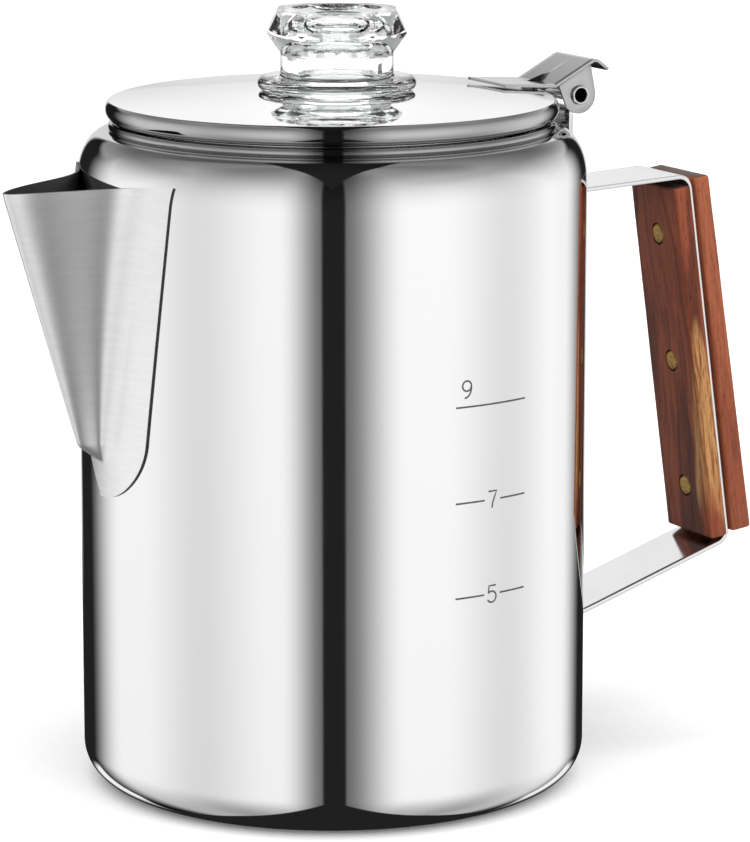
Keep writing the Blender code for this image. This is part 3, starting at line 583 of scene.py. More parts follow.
def wood(name, colours, sap, tilt):
    """Oiled hardwood. Growth rings run along the grip, pores are short dark strokes.

    The tilt leans the object's axes to the grip's. `sap` is the place and the two colours of a
    pale streak, or None. End grain that faces up is dark.
    """
    material, shader, surface, place = new_material(name)
    along = shader.node("ShaderNodeVectorRotate",
                        {"Vector": place, "Axis": (0, 1, 0), "Angle": tilt},
                        rotation_type="AXIS_ANGLE").outputs["Vector"]
    warp = shader.noise(shader.stretch(along, (1, 1, 0.25)), 55.0, 3.0)
    bent = shader.node("ShaderNodeVectorMath", {0: along}, operation="ADD")
    shift = shader.node("ShaderNodeCombineXYZ", {"Y": shader.math("MULTIPLY", warp, 0.012)})
    shader.plug(shift.outputs[0], bent.inputs[1])
    bent = bent.outputs[0]
    rings = shader.noise(shader.stretch(bent, (1, 1, 0.07)), 170.0, 5.0, 0.6)
    fibres = shader.noise(shader.stretch(bent, (1, 1, 0.05)), 1500.0, 4.0, 0.6)
    pores = shader.noise(shader.stretch(bent, (1, 1, 0.09)), 2600.0, 2.0, 0.5)
    tone = shader.ramp(rings, colours)
    tone = shader.mix(shader.step(fibres, 0.35, 0.75, 0.0, 0.35), tone, (0.03, 0.008, 0.006, 1))
    if sap is not None:
        parts = shader.node("ShaderNodeSeparateXYZ", {"Vector": bent})
        centre, half, middle_z, half_z = sap["place"]
        sideways = shader.math("DIVIDE", shader.math("SUBTRACT", parts.outputs["Y"], centre), half)
        upwards = shader.math("SUBTRACT", parts.outputs["Z"], middle_z)
        upwards = shader.math("DIVIDE", upwards, half_z)
        away = shader.math("ADD", shader.math("MULTIPLY", sideways, sideways),
                           shader.math("MULTIPLY", upwards, upwards))
        ragged = shader.math("MULTIPLY", shader.math("SUBTRACT", rings, 0.5), 4.2)
        away = shader.math("ADD", away, ragged)
        share = shader.step(away, 1.1, 0.3, 0.0, 0.9)
        gold = shader.ramp(fibres, ((0.3, sap["dark"]), (0.62, sap["light"])))
        tone = shader.mix(share, tone, gold)
    deep = shader.step(pores, 0.62, 0.7)
    tone = shader.mix(shader.math("MULTIPLY", deep, 0.55), tone, (0.02, 0.008, 0.006, 1))
    normal = shader.node("ShaderNodeNewGeometry").outputs["True Normal"]
    facing = shader.node("ShaderNodeSeparateXYZ", {"Vector": normal})
    end_grain = shader.step(facing.outputs["Z"], 0.75, 0.92, 0.0, 0.92)
    tone = shader.mix(end_grain, tone, (0.06, 0.04, 0.033, 1))
    shader.plug(tone, surface.inputs["Base Color"])
    shader.plug(shader.step(rings, 0.3, 0.7, 0.42, 0.56), surface.inputs["Roughness"])
    shader.plug(0.2, surface.inputs["Specular IOR Level"])
    relief = shader.math("SUBTRACT", shader.math("MULTIPLY", fibres, 0.5), deep)
    shader.plug(shader.bump(relief, 0.35, 0.12 * MM), surface.inputs["Normal"])
    return material


def aged_brass():
    material, shader, surface, place = new_material("aged_brass")
    stain = shader.noise(place, 700.0, 4.0)
    scratch = shader.noise(shader.stretch(place, (1, 0.2, 1)), 2500.0, 2.0)
    shader.plug(1.0, surface.inputs["Metallic"])
    tone = shader.ramp(stain, ((0.3, (0.20, 0.11, 0.03)), (0.65, (0.52, 0.34, 0.10))))
    shader.plug(tone, surface.inputs["Base Color"])
    shader.plug(shader.step(stain, 0.3, 0.7, 0.32, 0.5), surface.inputs["Roughness"])
    shader.plug(shader.bump(scratch, 0.3, 0.05 * MM), surface.inputs["Normal"])
    return material


# ---------------------------------------------------------------- pot and spout

def make_pot(steel):
    """Drawn vessel with a rounded base corner, a rounded shoulder and a rolled rim."""
    ease = 1.5 * MM     # a ring this close to each arc keeps the wall's reflections straight
    base_centre = (WALL - BASE_CORNER, BASE_CORNER)
    inside = [(0.0, SHEET)]
    inside += arc(base_centre, (BASE_CORNER - SHEET,) * 2, -90, 0, 10)
    inside += [(WALL - SHEET, STRAINER_ROWS[0] - 4 * MM), (WALL - SHEET, STRAINER_ROWS[1] + 2 * MM)]
    inside += shoulder_curve(SHEET, 12)[::-1]
    inside.append((NECK - SHEET, SHOULDER_TOP - SHEET))
    bead_centre = (NECK - SHEET + RIM_BEAD, RIM_TOP - RIM_BEAD)
    rim = arc(bead_centre, (RIM_BEAD,) * 2, 180, -60, 14)
    outside = [point for point in shoulder_curve(0.0, 48) if point[0] > NECK + RIM_BEAD]
    outside += [(WALL, STRAINER_ROWS[1] + 2 * MM), (WALL, STRAINER_ROWS[0] - 4 * MM),
                (WALL, BASE_CORNER + ease)]
    outside += arc(base_centre, (BASE_CORNER,) * 2, 0, -90, 28)
    outside.append((0.0, 0.0))
    pot = turned("pot_shell", inside + rim + outside)
    centres = []
    height = STRAINER_ROWS[0]
    while height < STRAINER_ROWS[1]:
        room = 2 * (fold_half_width(height) - STRAINER_HOLE)
        count = 1 + int(max(room, 0.0) / STRAINER_PITCH)
        for k in range(count):
            centres.append((-WALL, (k - (count - 1) / 2) * STRAINER_PITCH, height))
        height += STRAINER_PITCH
    combine(pot, rods("strainer_drills", centres, STRAINER_HOLE, 8 * MM, (1, 0, 0)), "DIFFERENCE")
    finish_piece(pot, steel, "pot", "polished_steel", "pot_body", sharp=25)


def wall_radius(height):
    """Radius of the pot's outer face, on its wall or on its shoulder."""
    wide, tall = SHOULDER
    rise = max((height - SHOULDER_TOP + tall) / tall, 0.0)
    return WALL - wide + wide * (1 - rise ** SHOULDER_POWER) ** (1 / SHOULDER_POWER)


def shoulder_curve(depth, steps):
    """Points of the shoulder from its top down to the wall, a depth inside its outer face."""
    wide, tall = SHOULDER
    points = []
    for k in range(steps + 1):
        angle = math.pi / 2 * (1 - k / steps)
        across = math.cos(angle) ** (2 / SHOULDER_POWER)
        rise = math.sin(angle) ** (2 / SHOULDER_POWER)
        points.append((WALL - wide + (wide - depth) * across,
                       SHOULDER_TOP - tall + (tall - depth) * rise))
    return points


def fold_half_width(height):
    """Half the width of the spout's fold where it meets the wall."""
    return max(FOLD_SLOPE * (height - FOLD_ZERO), FOLD_LEAST)


def flange_half_width(height, far):
    """Half the width of the spout's flange, measured along the wall."""
    widest = FLANGE_HALF_TOP * (FLANGE_FAR_SHARE if far else 1.0)
    straight = widest - FLANGE_SLOPE * (SPOUT_TIP - height)
    start = FLANGE_TAPER_Z if far else FLANGE_ROUND_Z
    if height >= start:
        return straight
    depth = min((start - height) / (start - SPOUT_BOTTOM), 0.9998)
    return straight * ((1 - depth) ** 0.75 if far else math.sqrt(1 - depth * depth))


def ridge_reach(height, wall):
    """Distance of the spout's ridge from the pot's axis."""
    reach = SPOUT_REACH - SPOUT_SLOPE * (SPOUT_TIP - height)
    rise = (height - SPOUT_FOOT) / SPOUT_KNEE
    if rise < 1:
        reach = wall + (reach - wall) * max(rise, 0.0) ** 0.7
    return max(reach, wall)


def spout_half_section(height, wall, far):
    """Points (distance from the axis, half-width, share of the rim) after the ridge's own."""
    columns = 40
    ridge = ridge_reach(height, wall)
    fold = fold_half_width(height)
    crease = math.sqrt(wall * wall - fold * fold)
    points = []
    for k in range(1, columns + 1):
        share = k / columns
        knee_out, knee_in = FOLD_KNEE
        fall = share * knee_in / knee_out
        if share > knee_out:
            fall = knee_in + (share - knee_out) * (1 - knee_in) / (1 - knee_out)
        points.append((ridge + (crease - ridge) * fall, fold * share, FOLD_PART * share))
    start = math.asin(fold / wall)
    edge = max(flange_half_width(height, far) / wall, start + 0.002)
    for k in range(1, columns // 2 + 1):
        share = k / (columns // 2)
        angle = start + (edge - start) * share
        points.append((wall * math.cos(angle), wall * math.sin(angle),
                       FOLD_PART + (1 - FOLD_PART) * share))
    return points


def soften(points, passes):
    """Round the bends of a line of points. Its ends stay."""
    for _ in range(passes):
        moved = [points[0]]
        for before, here, after in zip(points, points[1:], points[2:]):
            moved.append((before + 2 * here + after) / 4)
        points = moved + [points[-1]]
    return points


def spout_row(height, wall):
    """One level of the spout, from the near flange's edge over the ridge to the far one's."""
    ridge = ridge_reach(height, wall)
    near = spout_half_section(height, wall, False)
    near = [(reach, -across, share) for reach, across, share in near]
    far = spout_half_section(height, wall, True)
    row = [Vector(point) for point in near[::-1] + [(ridge, 0.0, 0.0)] + far]
    row = soften(row, SOFTEN_PASSES)
    middle = row[len(near)]
    lost = (ridge - wall) / max(middle.x - wall, 0.01 * MM)
    climb = SPOUT_RIM_RISE * ((height - SPOUT_BOTTOM) / (SPOUT_TIP - SPOUT_BOTTOM)) ** 2
    points = []
    for reach, across, share in row:
        level = height + climb * share
        flat = math.sqrt(wall * wall - across * across)
        seat = math.sqrt((wall_radius(level) + CONTACT) ** 2 - across * across)
        points.append((-seat - max(reach - flat, 0.0) * min(lost, 1.6), across, level))
    return points


def make_spout(satin, shaded_cut_edge, shaded_inside):
    """A folded sheet. Its two flanges lie on the wall, and its ridge leans outwards.

    Inside, the channel has painted shade: a much darker copy of the brushed steel.
    """
    wall = WALL + CONTACT
    count = 110
    rows = []
    for k in range(count + 1):
        height = SPOUT_BOTTOM + (SPOUT_TIP - SPOUT_BOTTOM) * (k / count) ** 1.5
        rows.append(spout_row(height, wall))
    spout = skin("pouring_spout", rows)
    spout.data.materials.append(satin)
    spout.data.materials.append(shaded_cut_edge)
    thicken(spout, SPOUT_SHEET, 1.0)
    # The rim faces take the second material: painted shade along the sheet's cut edge
    spout.modifiers["sheet"].material_offset_rim = 1
    settle(spout)
    # Faces turned towards the pot, inside the channel, take the third material: painted shade
    spout.data.materials.append(shaded_inside)
    for face in spout.data.polygons:
        side = 1 if face.center.y > 0 else -1
        if face.material_index == 0 and face.normal.x * 0.5 - face.normal.y * side * 0.866 > 0.0:
            face.material_index = 2
    finish_piece(spout, None, "pot", "satin_steel", "spout", sharp=50)


# ---------------------------------------------------------------- lid and knob

def lid_height(radius):
    """Height of the lid's domed top surface."""
    return LID_TOP - LID_DOME_DROP * (radius / LID_DOME) ** 2


def make_lid(steel):
    """Domed lid with a curled edge, and a hole with two notches for the knob's lugs."""
    steps = 24
    dome = [LID_HOLE + (LID_DOME - LID_HOLE) * i / steps for i in range(steps)]
    path = [(radius, lid_height(radius)) for radius in dome]
    shoulder = (LID_RADIUS - LID_DOME, lid_height(LID_DOME) - LID_TIP_Z)
    path += arc((LID_DOME, LID_TIP_Z), shoulder, 90, 0, 16)
    curl = (LID_RADIUS - LID_CURL, LID_TIP_Z - LID_BOTTOM)
    path += arc((LID_CURL, LID_TIP_Z), curl, 0, -90, 12)[1:]
    lid = turned("lid_dome", sheet_ring(path, SHEET), closed=True)
    notch_half = LUG_HALF_WIDTH + 0.6 * MM
    notch_reach = LUG_REACH + 0.6 * MM
    notch = block("notches", (KNOB_X - notch_half, KNOB_Y - notch_reach, LID_TOP - 3 * MM),
                  (KNOB_X + notch_half, KNOB_Y + notch_reach, LID_TOP + 1 * MM))
    combine(lid, notch, "DIFFERENCE")
    finish_piece(lid, steel, "lid", "polished_steel", "lid_plate")


def make_skirt(steel):
    """Ring under the lid that enters the mouth."""
    under = SHEET + 0.3 * MM
    path = [(SKIRT_INNER, lid_height(SKIRT_INNER) - under),
            (SKIRT_RADIUS, lid_height(SKIRT_RADIUS) - under - 0.1 * MM),
            (SKIRT_RADIUS, SKIRT_BOTTOM)]
    skirt = turned("lid_collar", sheet_ring(fillet(path, (1.5 * MM,)), SHEET), closed=True)
    finish_piece(skirt, steel, "lid", "polished_steel", "lid_skirt")


def make_knob(glass):
    """Hollow glass knob: faceted crown, neck, round flange, and a spigot with two lugs."""
    seat = lid_height(LID_HOLE) + CONTACT
    flange_middle = (KNOB_FLANGE_TOP + seat) / 2
    flange_edge = (KNOB_FLANGE_TOP - seat) / 2
    crown = [(0.0, KNOB_TOP - 1.8 * MM), (10.0 * MM, KNOB_TOP - 1.7 * MM),
             (12.6 * MM, KNOB_TOP), (KNOB_RIM, KNOB_TOP), (KNOB_WIDEST, KNOB_WIDEST_Z),
             (KNOB_NECK, KNOB_NECK_TOP), (KNOB_NECK, KNOB_FLANGE_TOP),
             (KNOB_FLANGE - flange_edge, KNOB_FLANGE_TOP)]
    radii = (0.8 * MM, 0.5 * MM, 0.3 * MM, 0.3 * MM, 1.2 * MM, 0.9 * MM)
    section = fillet(crown, radii, 6)
    section += arc((KNOB_FLANGE - flange_edge, flange_middle), (flange_edge,) * 2, 90, -90, 16)[1:]
    cavity = [(KNOB_SPIGOT, seat), (KNOB_SPIGOT, KNOB_BOTTOM), (KNOB_BORE, KNOB_BOTTOM),
              (KNOB_BORE, KNOB_CAVITY_TOP), (0.0, KNOB_CAVITY_TOP + 0.8 * MM)]
    section += fillet(cavity, (0.3 * MM, 0.3 * MM, 4.0 * MM), 8)
    knob = turned("knob_of_glass", section, steps=160)
    lug_top = lid_height(LUG_REACH) - SHEET - 0.3 * MM
    for side in (-1, 1):
        ends = sorted((side * (KNOB_SPIGOT - 1.0 * MM), side * LUG_REACH))
        lug = block("lug", (ends[0], -LUG_HALF_WIDTH, lug_top - 2 * MM),
                    (ends[1], LUG_HALF_WIDTH, lug_top))
        combine(knob, lug, "UNION")
    combine(knob, facet_taper(), "INTERSECT")
    round_edges(knob, 0.45 * MM, 3, 17)
    settle(knob)
    bend_points(knob, lambda point: point + Vector((KNOB_X, KNOB_Y, 0)))
    finish_piece(knob, glass, "knob", "clear_glass", "glass_knob", sharp=40)


def facet_taper():
    """Square taper with cut corners. It cuts the crown's facets and clears all that is lower."""
    turn = Matrix.Rotation(FRONT, 4, "Z")
    build = bmesh.new()
    for height in (KNOB_BOTTOM - MM, KNOB_TOP + MM):
        face = FACET_TOP + FACET_TAPER * (KNOB_TOP - height)
        for x, y in ((FACET_HALF_WIDTH, face), (face, FACET_HALF_WIDTH)):
            for sign_x in (-1, 1):
                for sign_y in (-1, 1):
                    build.verts.new(turn @ Vector((sign_x * x, sign_y * y, height)))
    bmesh.ops.convex_hull(build, input=build.verts)
    return add("facets", mesh_of(build, "facets"))


# ---------------------------------------------------------------- hinge

def lever_path():
    """Middle line of the lid's lever: tongue on the lid, rising thumb plate, turned-down lip."""
    lift = LEVER_SHEET / 2 + 0.3 * MM
    tongue_start = (46.0 * MM, lid_height(46.0 * MM) + lift)
    tongue_end = (61.4 * MM, lid_height(54.0 * MM) + lift - 0.45 * MM)
    crest = (73.7 * MM, 186.1 * MM)
    lip = (77.5 * MM, 183.2 * MM)
    return fillet([tongue_start, tongue_end, crest, lip], (0.9 * MM, 1.9 * MM), 8)


def make_lever(satin):
    """Lid half of the hinge: one bent sheet with two ears and a pressed stiffening dart."""
    path = lever_path()
    lever = strip("thumb_lever", path, LEVER_WIDTH - 0.1 * MM, LEVER_SHEET)
    settle(lever)
    fold = path[5]
    ear = arc((PIN_X - 0.1 * MM, PIN_Z), (LEVER_EAR,) * 2, -142, 4, 30)
    ear += [(72.1 * MM, 184.6 * MM), (70.9 * MM, 184.2 * MM), (62.4 * MM, 179.6 * MM)]
    middle = (LEVER_WIDTH - LEVER_SHEET) / 2
    for side in (-1, 1):
        combine(lever, plate("ear", ear, LEVER_SHEET, side * middle), "UNION")
    combine(lever, make_dart(fold), "UNION")
    hole = rods("hole", [(PIN_X, 0, PIN_Z)], PIN_RADIUS + CONTACT, 30 * MM, (0, 1, 0), 40)
    combine(lever, hole, "DIFFERENCE")
    round_edges(lever, 0.22 * MM, 2, 40)
    finish_piece(lever, satin, "lid", "polished_steel", "lid_lever", sharp=30)


def make_dart(fold):
    """Three-sided rib pressed into the lever's fold."""
    corners = ((-4.2, 0.0, 0.2), (4.0, 0.0, 2.5),
               (0.0, -2.4, -0.3), (0.0, 2.4, -0.3), (1.2, 0.0, 2.0))
    build = bmesh.new()
    for x, y, z in corners:
        build.verts.new((fold[0] + x * MM, y * MM, fold[1] + z * MM))
    bmesh.ops.convex_hull(build, input=build.verts)
    return add("dart", mesh_of(build, "dart"))


def make_upright(steel):
    """Pot half of the hinge: an upright on the wall with two ears inside the lever's ears."""
    front = WALL + 0.3 * MM
    rear = front + UPRIGHT_SHEET
    half = (UPRIGHT_WIDTH - 0.1 * MM) / 2
    upright = block("hinge_strap", (front, -half, UPRIGHT_BOTTOM), (rear, half, UPRIGHT_TOP))
    ear_bottom = UPRIGHT_TOP - 4 * MM
    top_angle = math.degrees(math.acos((front - PIN_X) / UPRIGHT_EAR))
    ear = [(front + 0.02 * MM, ear_bottom), (rear, ear_bottom)]
    ear += arc((PIN_X, PIN_Z), (UPRIGHT_EAR,) * 2, -108, top_angle - 1, 30)
    middle = (UPRIGHT_WIDTH - UPRIGHT_SHEET) / 2
    for side in (-1, 1):
        combine(upright, plate("ear", ear, UPRIGHT_SHEET, side * middle), "UNION")
    hole = rods("hole", [(PIN_X, 0, PIN_Z)], PIN_RADIUS + CONTACT, 30 * MM, (0, 1, 0), 40)
    combine(upright, hole, "DIFFERENCE")
    round_edges(upright, 0.2 * MM, 2, 40)
    finish_piece(upright, steel, "pot", "polished_steel", "hinge_upright", sharp=30)


def make_rivet(steel, dark):
    """Hollow rivet through both pairs of ears, rolled over at each end, with painted shade in its
    bore.
    """
    inside = LEVER_WIDTH / 2 + CONTACT
    lip = arc((PIN_HEAD - 0.35 * MM, inside + 0.35 * MM), (0.35 * MM, 0.35 * MM), -90, 180, 10)
    section = [(PIN_RADIUS, inside)] + lip + [(PIN_BORE, inside)]
    mirrored = [(radius, -height) for radius, height in section[::-1]]
    rivet = turned("hollow_rivet", section + mirrored, closed=True, steps=SMALL_STEPS)
    settle(rivet)
    rivet.data.materials.append(steel)
    rivet.data.materials.append(dark)
    # The bore's faces take near-black steel: painted shade inside the tube
    for face in rivet.data.polygons:
        if math.hypot(face.center.x, face.center.y) < PIN_BORE + 0.05 * MM:
            face.material_index = 1
    lying = Matrix.Rotation(math.pi / 2, 4, "X")
    rivet.matrix_world = Matrix.Translation((PIN_X, 0, PIN_Z)) @ lying
    finish_piece(rivet, None, "pot", "polished_steel", "hinge_pin")


# ---------------------------------------------------------------- handle

def make_band(steel):
    """Flat steel band bent into a bracket. Its end tabs follow the wall's curve."""
    wall = WALL + CONTACT + BAND_SHEET / 2
    path = [(wall, BAND_TOP_ROOT - BAND_TAB), (wall, BAND_TOP_ROOT), BAND_TOP_CORNER,
            BAND_LOW_CORNER, (wall, BAND_LOW_ROOT), (wall, BAND_LOW_ROOT + BAND_TAB)]
    bends = (1.6 * MM, BAND_BEND, BAND_BEND, 1.6 * MM)
    band = strip("bracket_band", divide(fillet(path, bends), 4 * MM), BAND_WIDTH, BAND_SHEET, 16)
    round_edges(band, 0.25 * MM, 2, 50)
    settle(band)

    def hug(point):
        sag = WALL - math.sqrt(WALL * WALL - point.y * point.y)
        share = min(max((point.x - WALL - 2 * MM) / (7 * MM), 0.0), 1.0)
        return Vector((point.x - sag * (1 - share * share * (3 - 2 * share)), point.y, point.z))

    bend_points(band, hug)
    drill_grip(band)
    finish_piece(band, steel, "pot", "polished_steel", "handle_band", sharp=40)


def grip_frame():
    """Matrix of the grip and its lean: X points outwards across the band, Z up the band's leg."""
    top = Vector((BAND_TOP_CORNER[0], 0, BAND_TOP_CORNER[1]))
    low = Vector((BAND_LOW_CORNER[0], 0, BAND_LOW_CORNER[1]))
    lean = math.asin((top.x - low.x) / (top - low).length)
    return Matrix.Translation((top + low) / 2) @ Matrix.Rotation(lean, 4, "Y"), lean


def pin_heights():
    return [GRIP_PIN_MIDDLE + GRIP_PIN_PITCH * k for k in (1, 0, -1)]


def drill_grip(piece):
    frame_matrix, _ = grip_frame()
    centres = [frame_matrix @ Vector((0, 0, height)) for height in pin_heights()]
    direction = frame_matrix.to_3x3() @ Vector((1, 0, 0))
    combine(piece, rods("drills", centres, GRIP_PIN_HOLE, 30 * MM, direction, 40), "DIFFERENCE")


def make_scale(name, thick, ends, width, inward, material, slot, node):
    """A wooden scale, with its long edges broken and its faces a touch uneven from hand sanding."""
    frame_matrix, _ = grip_frame()
    face = BAND_SHEET / 2 + CONTACT
    build = bmesh.new()
    bmesh.ops.create_cube(build, size=1.0)
    for vertex in build.verts:
        x, y, z = vertex.co
        end = ends[0] if z < 0 else ends[1]
        depth = thick[0] if z < 0 else thick[1]
        out = face + (depth if x > 0 else 0.0)
        vertex.co = (-out if inward else out, y * width, end)
    scale = add(name, mesh_of(build, name))
    round_edges(scale, 0.75 * MM, 3, 40)
    settle(scale)
    build = bmesh.new()
    build.from_mesh(scale.data)
    bmesh.ops.triangulate(build, faces=[f for f in build.faces if len(f.verts) > 4])
    long_edges = [edge for edge in build.edges if edge.calc_length() > 20 * MM]
    bmesh.ops.subdivide_edges(build, edges=long_edges, cuts=24, use_grid_fill=True)
    build.to_mesh(scale.data)
    build.free()

    def sand(point):
        wave = noise.noise(point * 90.0 + Vector((thick[0] * 9000, 0, 0)))
        return frame_matrix @ (point + Vector((0, wave * 0.12 * MM, 0)))

    bend_points(scale, sand)
    drill_grip(scale)
    finish_piece(scale, material, "pot", slot, node, sharp=35)


def make_pins(brass):
    """Three brass pins, filed nearly flush with the wood."""
    frame_matrix, _ = grip_frame()
    face = BAND_SHEET / 2 + CONTACT
    thinning = SCALE_OUTER_THICK[1] - SCALE_OUTER_THICK[0]
    taper = thinning / (SCALE_OUTER_ENDS[1] - SCALE_OUTER_ENDS[0])
    names = ("grip_pin_top", "grip_pin_middle", "grip_pin_bottom")
    for height, node in zip(pin_heights(), names):
        low = -face - SCALE_INNER_THICK - 0.05 * MM
        high = face + SCALE_OUTER_THICK[0] + taper * (height - SCALE_OUTER_ENDS[0]) + 0.05 * MM
        dome = [(0.0, 0.12 * MM), (GRIP_PIN * 0.5, 0.09 * MM), (GRIP_PIN - 0.35 * MM, 0.0),
                (GRIP_PIN, -0.3 * MM)]
        section = [(radius, high + rise) for radius, rise in dome]
        section += [(radius, low - rise) for radius, rise in dome[::-1]]
        pin = turned(node.replace("grip_pin", "brass_pin"), section, steps=48)
        turn = Matrix.Rotation(math.pi / 2, 4, "Y")
        pin.matrix_world = frame_matrix @ Matrix.Translation((0, 0, height)) @ turn
        finish_piece(pin, brass, "pot", "brass", node)


# ---------------------------------------------------------------- graduation

MARK_HEIGHTS = {"9": 109.1 * MM, "7": 84.7 * MM, "5": 60.4 * MM}
MARK_BEARINGS = (27.6, 46.9)        # degrees, the ends of each graduation line
NUMERAL_HEIGHT = 4.3 * MM
NUMERAL_WIDTH = 4.8 * MM
STROKE = 0.46 * MM


def stroke_points(numeral):
    """Centre lines of a numeral, in a box one unit high, as lists of points."""
    if numeral == "9":
        ring = arc((0.0, 0.70), (0.27, 0.30), 0, 360, 28)
        tail = arc((-0.13, 0.62), (0.40, 0.62), 8, -92, 14)
        return [ring, tail]
    if numeral == "7":
        return [[(-0.27, 1.0), (0.27, 1.0), (0.12, 0.62), (0.0, 0.3), (-0.04, 0.0)]]
    bowl = arc((-0.03, 0.33), (0.30, 0.33), 125, -150, 22)
    return [[(0.24, 1.0), (-0.2, 1.0), (-0.25, 0.53)], bowl]


def on_wall(bearing, height, out):
    """A point on the pot's wall, raised by out."""
    angle = FRONT + math.radians(bearing)
    return Vector(((WALL + out) * math.cos(angle), (WALL + out) * math.sin(angle), height))


def groove(build, line, half_width):
    """A stamped stroke along (bearing, height) points: a low ridge with a raised middle."""
    degrees = math.degrees(1 / WALL)
    rows = []
    for i, (bearing, height) in enumerate(line):
        before = line[max(i - 1, 0)]
        after = line[min(i + 1, len(line) - 1)]
        along = Vector(((after[0] - before[0]) / degrees, after[1] - before[1])).normalized()
        side = Vector((-along.y, along.x)) * half_width
        row = []
        for share, out in ((-1, 0.01), (-0.6, 0.07), (0.6, 0.07), (1, 0.01)):
            row.append(build.verts.new(on_wall(bearing + side.x * share * degrees,
                                               height + side.y * share, out * MM)))
        rows.append(row)
    for upper, lower in zip(rows, rows[1:]):
        for i in range(3):
            build.faces.new((upper[i], upper[i + 1], lower[i + 1], lower[i]))
        build.faces.new((upper[0], lower[0], lower[3], upper[3]))
    build.faces.new(rows[0])
    build.faces.new(rows[-1][::-1])


def make_marks(etched):
    """Stamped lines and numerals for nine, seven and five cups."""
    degrees = math.degrees(1 / WALL)
    first, last = MARK_BEARINGS
    middle = (first + last) / 2
    build = bmesh.new()
    for numeral, height in MARK_HEIGHTS.items():
        on_line = numeral != "9"
        centre = middle if on_line else first + 2.7
        base = height - NUMERAL_HEIGHT / 2 if on_line else height + 2.3 * MM
        for points in stroke_points(numeral):
            line = [(centre + x * NUMERAL_WIDTH * degrees, base + y * NUMERAL_HEIGHT)
                    for x, y in points]
            groove(build, line, STROKE / 2)
        spans = ((first, middle - 2.2), (middle + 2.2, last)) if on_line else ((first, last),)
        for start, end in spans:
            line = [(start + (end - start) * k / 12, height) for k in range(13)]
            groove(build, line, STROKE / 2)
    marks = add("cup_marks", mesh_of(build, "cup_marks"))
    finish_piece(marks, etched, "pot", "satin_steel")


# ---------------------------------------------------------------- pump and basket

def make_pump(satin):
    """Stem tube in a bell foot, with the collar that carries the basket and a valve seat."""
    edge = 0.2 * MM
    tube = [(STEM_BORE, STEM_TOP - edge), (STEM_BORE + edge, STEM_TOP),
            (STEM_RADIUS - edge, STEM_TOP), (STEM_RADIUS, STEM_TOP - edge),
            (STEM_RADIUS, STEM_BOTTOM), (STEM_BORE, STEM_BOTTOM)]
    stem = turned("pump_stem", tube, closed=True, steps=SMALL_STEPS)
    bore = STEM_RADIUS + 0.3 * MM
    low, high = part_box("stem_collar")
    ring = [(bore, high.z), (high.x - edge, high.z), (high.x, high.z - edge),
            (high.x, low.z + edge), (high.x - edge, low.z), (bore, low.z)]
    collar = turned("stem_ring", ring, closed=True, steps=SMALL_STEPS)
    throat = bore + BASKET_SHEET
    throat_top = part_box("pump_foot")[1].z
    foot_z = 1.3 * MM
    flare_top = 20.0 * MM
    bell = [(throat, throat_top), (throat, flare_top)]
    flare = (FOOT_RADIUS - 0.6 * MM - throat, flare_top - 3.0 * MM)
    bell += arc((FOOT_RADIUS - 0.6 * MM, flare_top), flare, 185, 268, 20)
    bell.append((FOOT_RADIUS, foot_z))
    foot = turned("bell_foot", sheet_ring(bell, BASKET_SHEET), closed=True, steps=96)
    notches = rods("notches", [(0, 0, foot_z)], 3.5 * MM, 90 * MM, (1, 1, 0), 32)
    combine(foot, notches, "DIFFERENCE")
    low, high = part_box("valve_seat")
    inlet = 3.2 * MM
    seat = [(inlet, high.z), (high.x - edge, high.z), (high.x, high.z - edge), (high.x, low.z),
            (inlet, low.z)]
    seat = turned("inlet_seat", seat, closed=True, steps=SMALL_STEPS)
    for piece, node in ((stem, "stem_tube"), (collar, "stem_collar"), (foot, "pump_foot"),
                        (seat, "valve_seat")):
        finish_piece(piece, satin, "pump", "satin_steel", node)


def make_washer(satin):
    low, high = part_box("pump_washer")
    edge = 0.15 * MM
    disc = [(0.0, high.z), (high.x - edge, high.z), (high.x, high.z - edge), (high.x, low.z + edge),
            (high.x - edge, low.z), (0.0, low.z)]
    washer = turned("inlet_disc", disc, steps=SMALL_STEPS)
    finish_piece(washer, satin, "washer", "satin_steel", "pump_washer")


def sieve(name, first_ring, last_ring, height):
    """Drills on rings of holes about five millimetres apart."""
    pitch = 5.2 * MM
    centres = []
    radius = first_ring
    while radius <= last_ring:
        count = int(2 * math.pi * radius / pitch)
        for k in range(count):
            angle = 2 * math.pi * k / count
            centres.append((radius * math.cos(angle), radius * math.sin(angle), height))
        radius += pitch
    return rods(name, centres, SIEVE_HOLE, 6 * MM, (0, 0, 1), 8)


def make_basket(satin):
    """Coffee basket with a pierced floor, and the sleeve that slides on the stem."""
    low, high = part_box("basket_sleeve")
    sleeve_radius = 5.6 * MM
    bore = STEM_RADIUS + 0.3 * MM
    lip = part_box("basket_cup")[1].x
    path = [(lip, BASKET_TOP), (BASKET_RADIUS, BASKET_TOP),
            (BASKET_RADIUS, BASKET_FLOOR), (sleeve_radius + 0.3 * MM, BASKET_FLOOR)]
    section = sheet_ring(fillet(path, (0.9 * MM, 4.0 * MM)), BASKET_SHEET)
    cup = turned("coffee_basket", section, closed=True, steps=128)
    combine(cup, sieve("holes", 14 * MM, 42 * MM, BASKET_FLOOR), "DIFFERENCE")
    tube = [(bore, high.z), (sleeve_radius, high.z), (sleeve_radius, BASKET_FLOOR - 0.3 * MM),
            (high.x, BASKET_FLOOR - 0.3 * MM), (high.x, low.z), (bore, low.z)]
    sleeve = turned("basket_tube", tube, closed=True, steps=SMALL_STEPS)
    finish_piece(cup, satin, "basket", "satin_steel", "basket_cup")
    finish_piece(sleeve, satin, "basket", "satin_steel", "basket_sleeve")


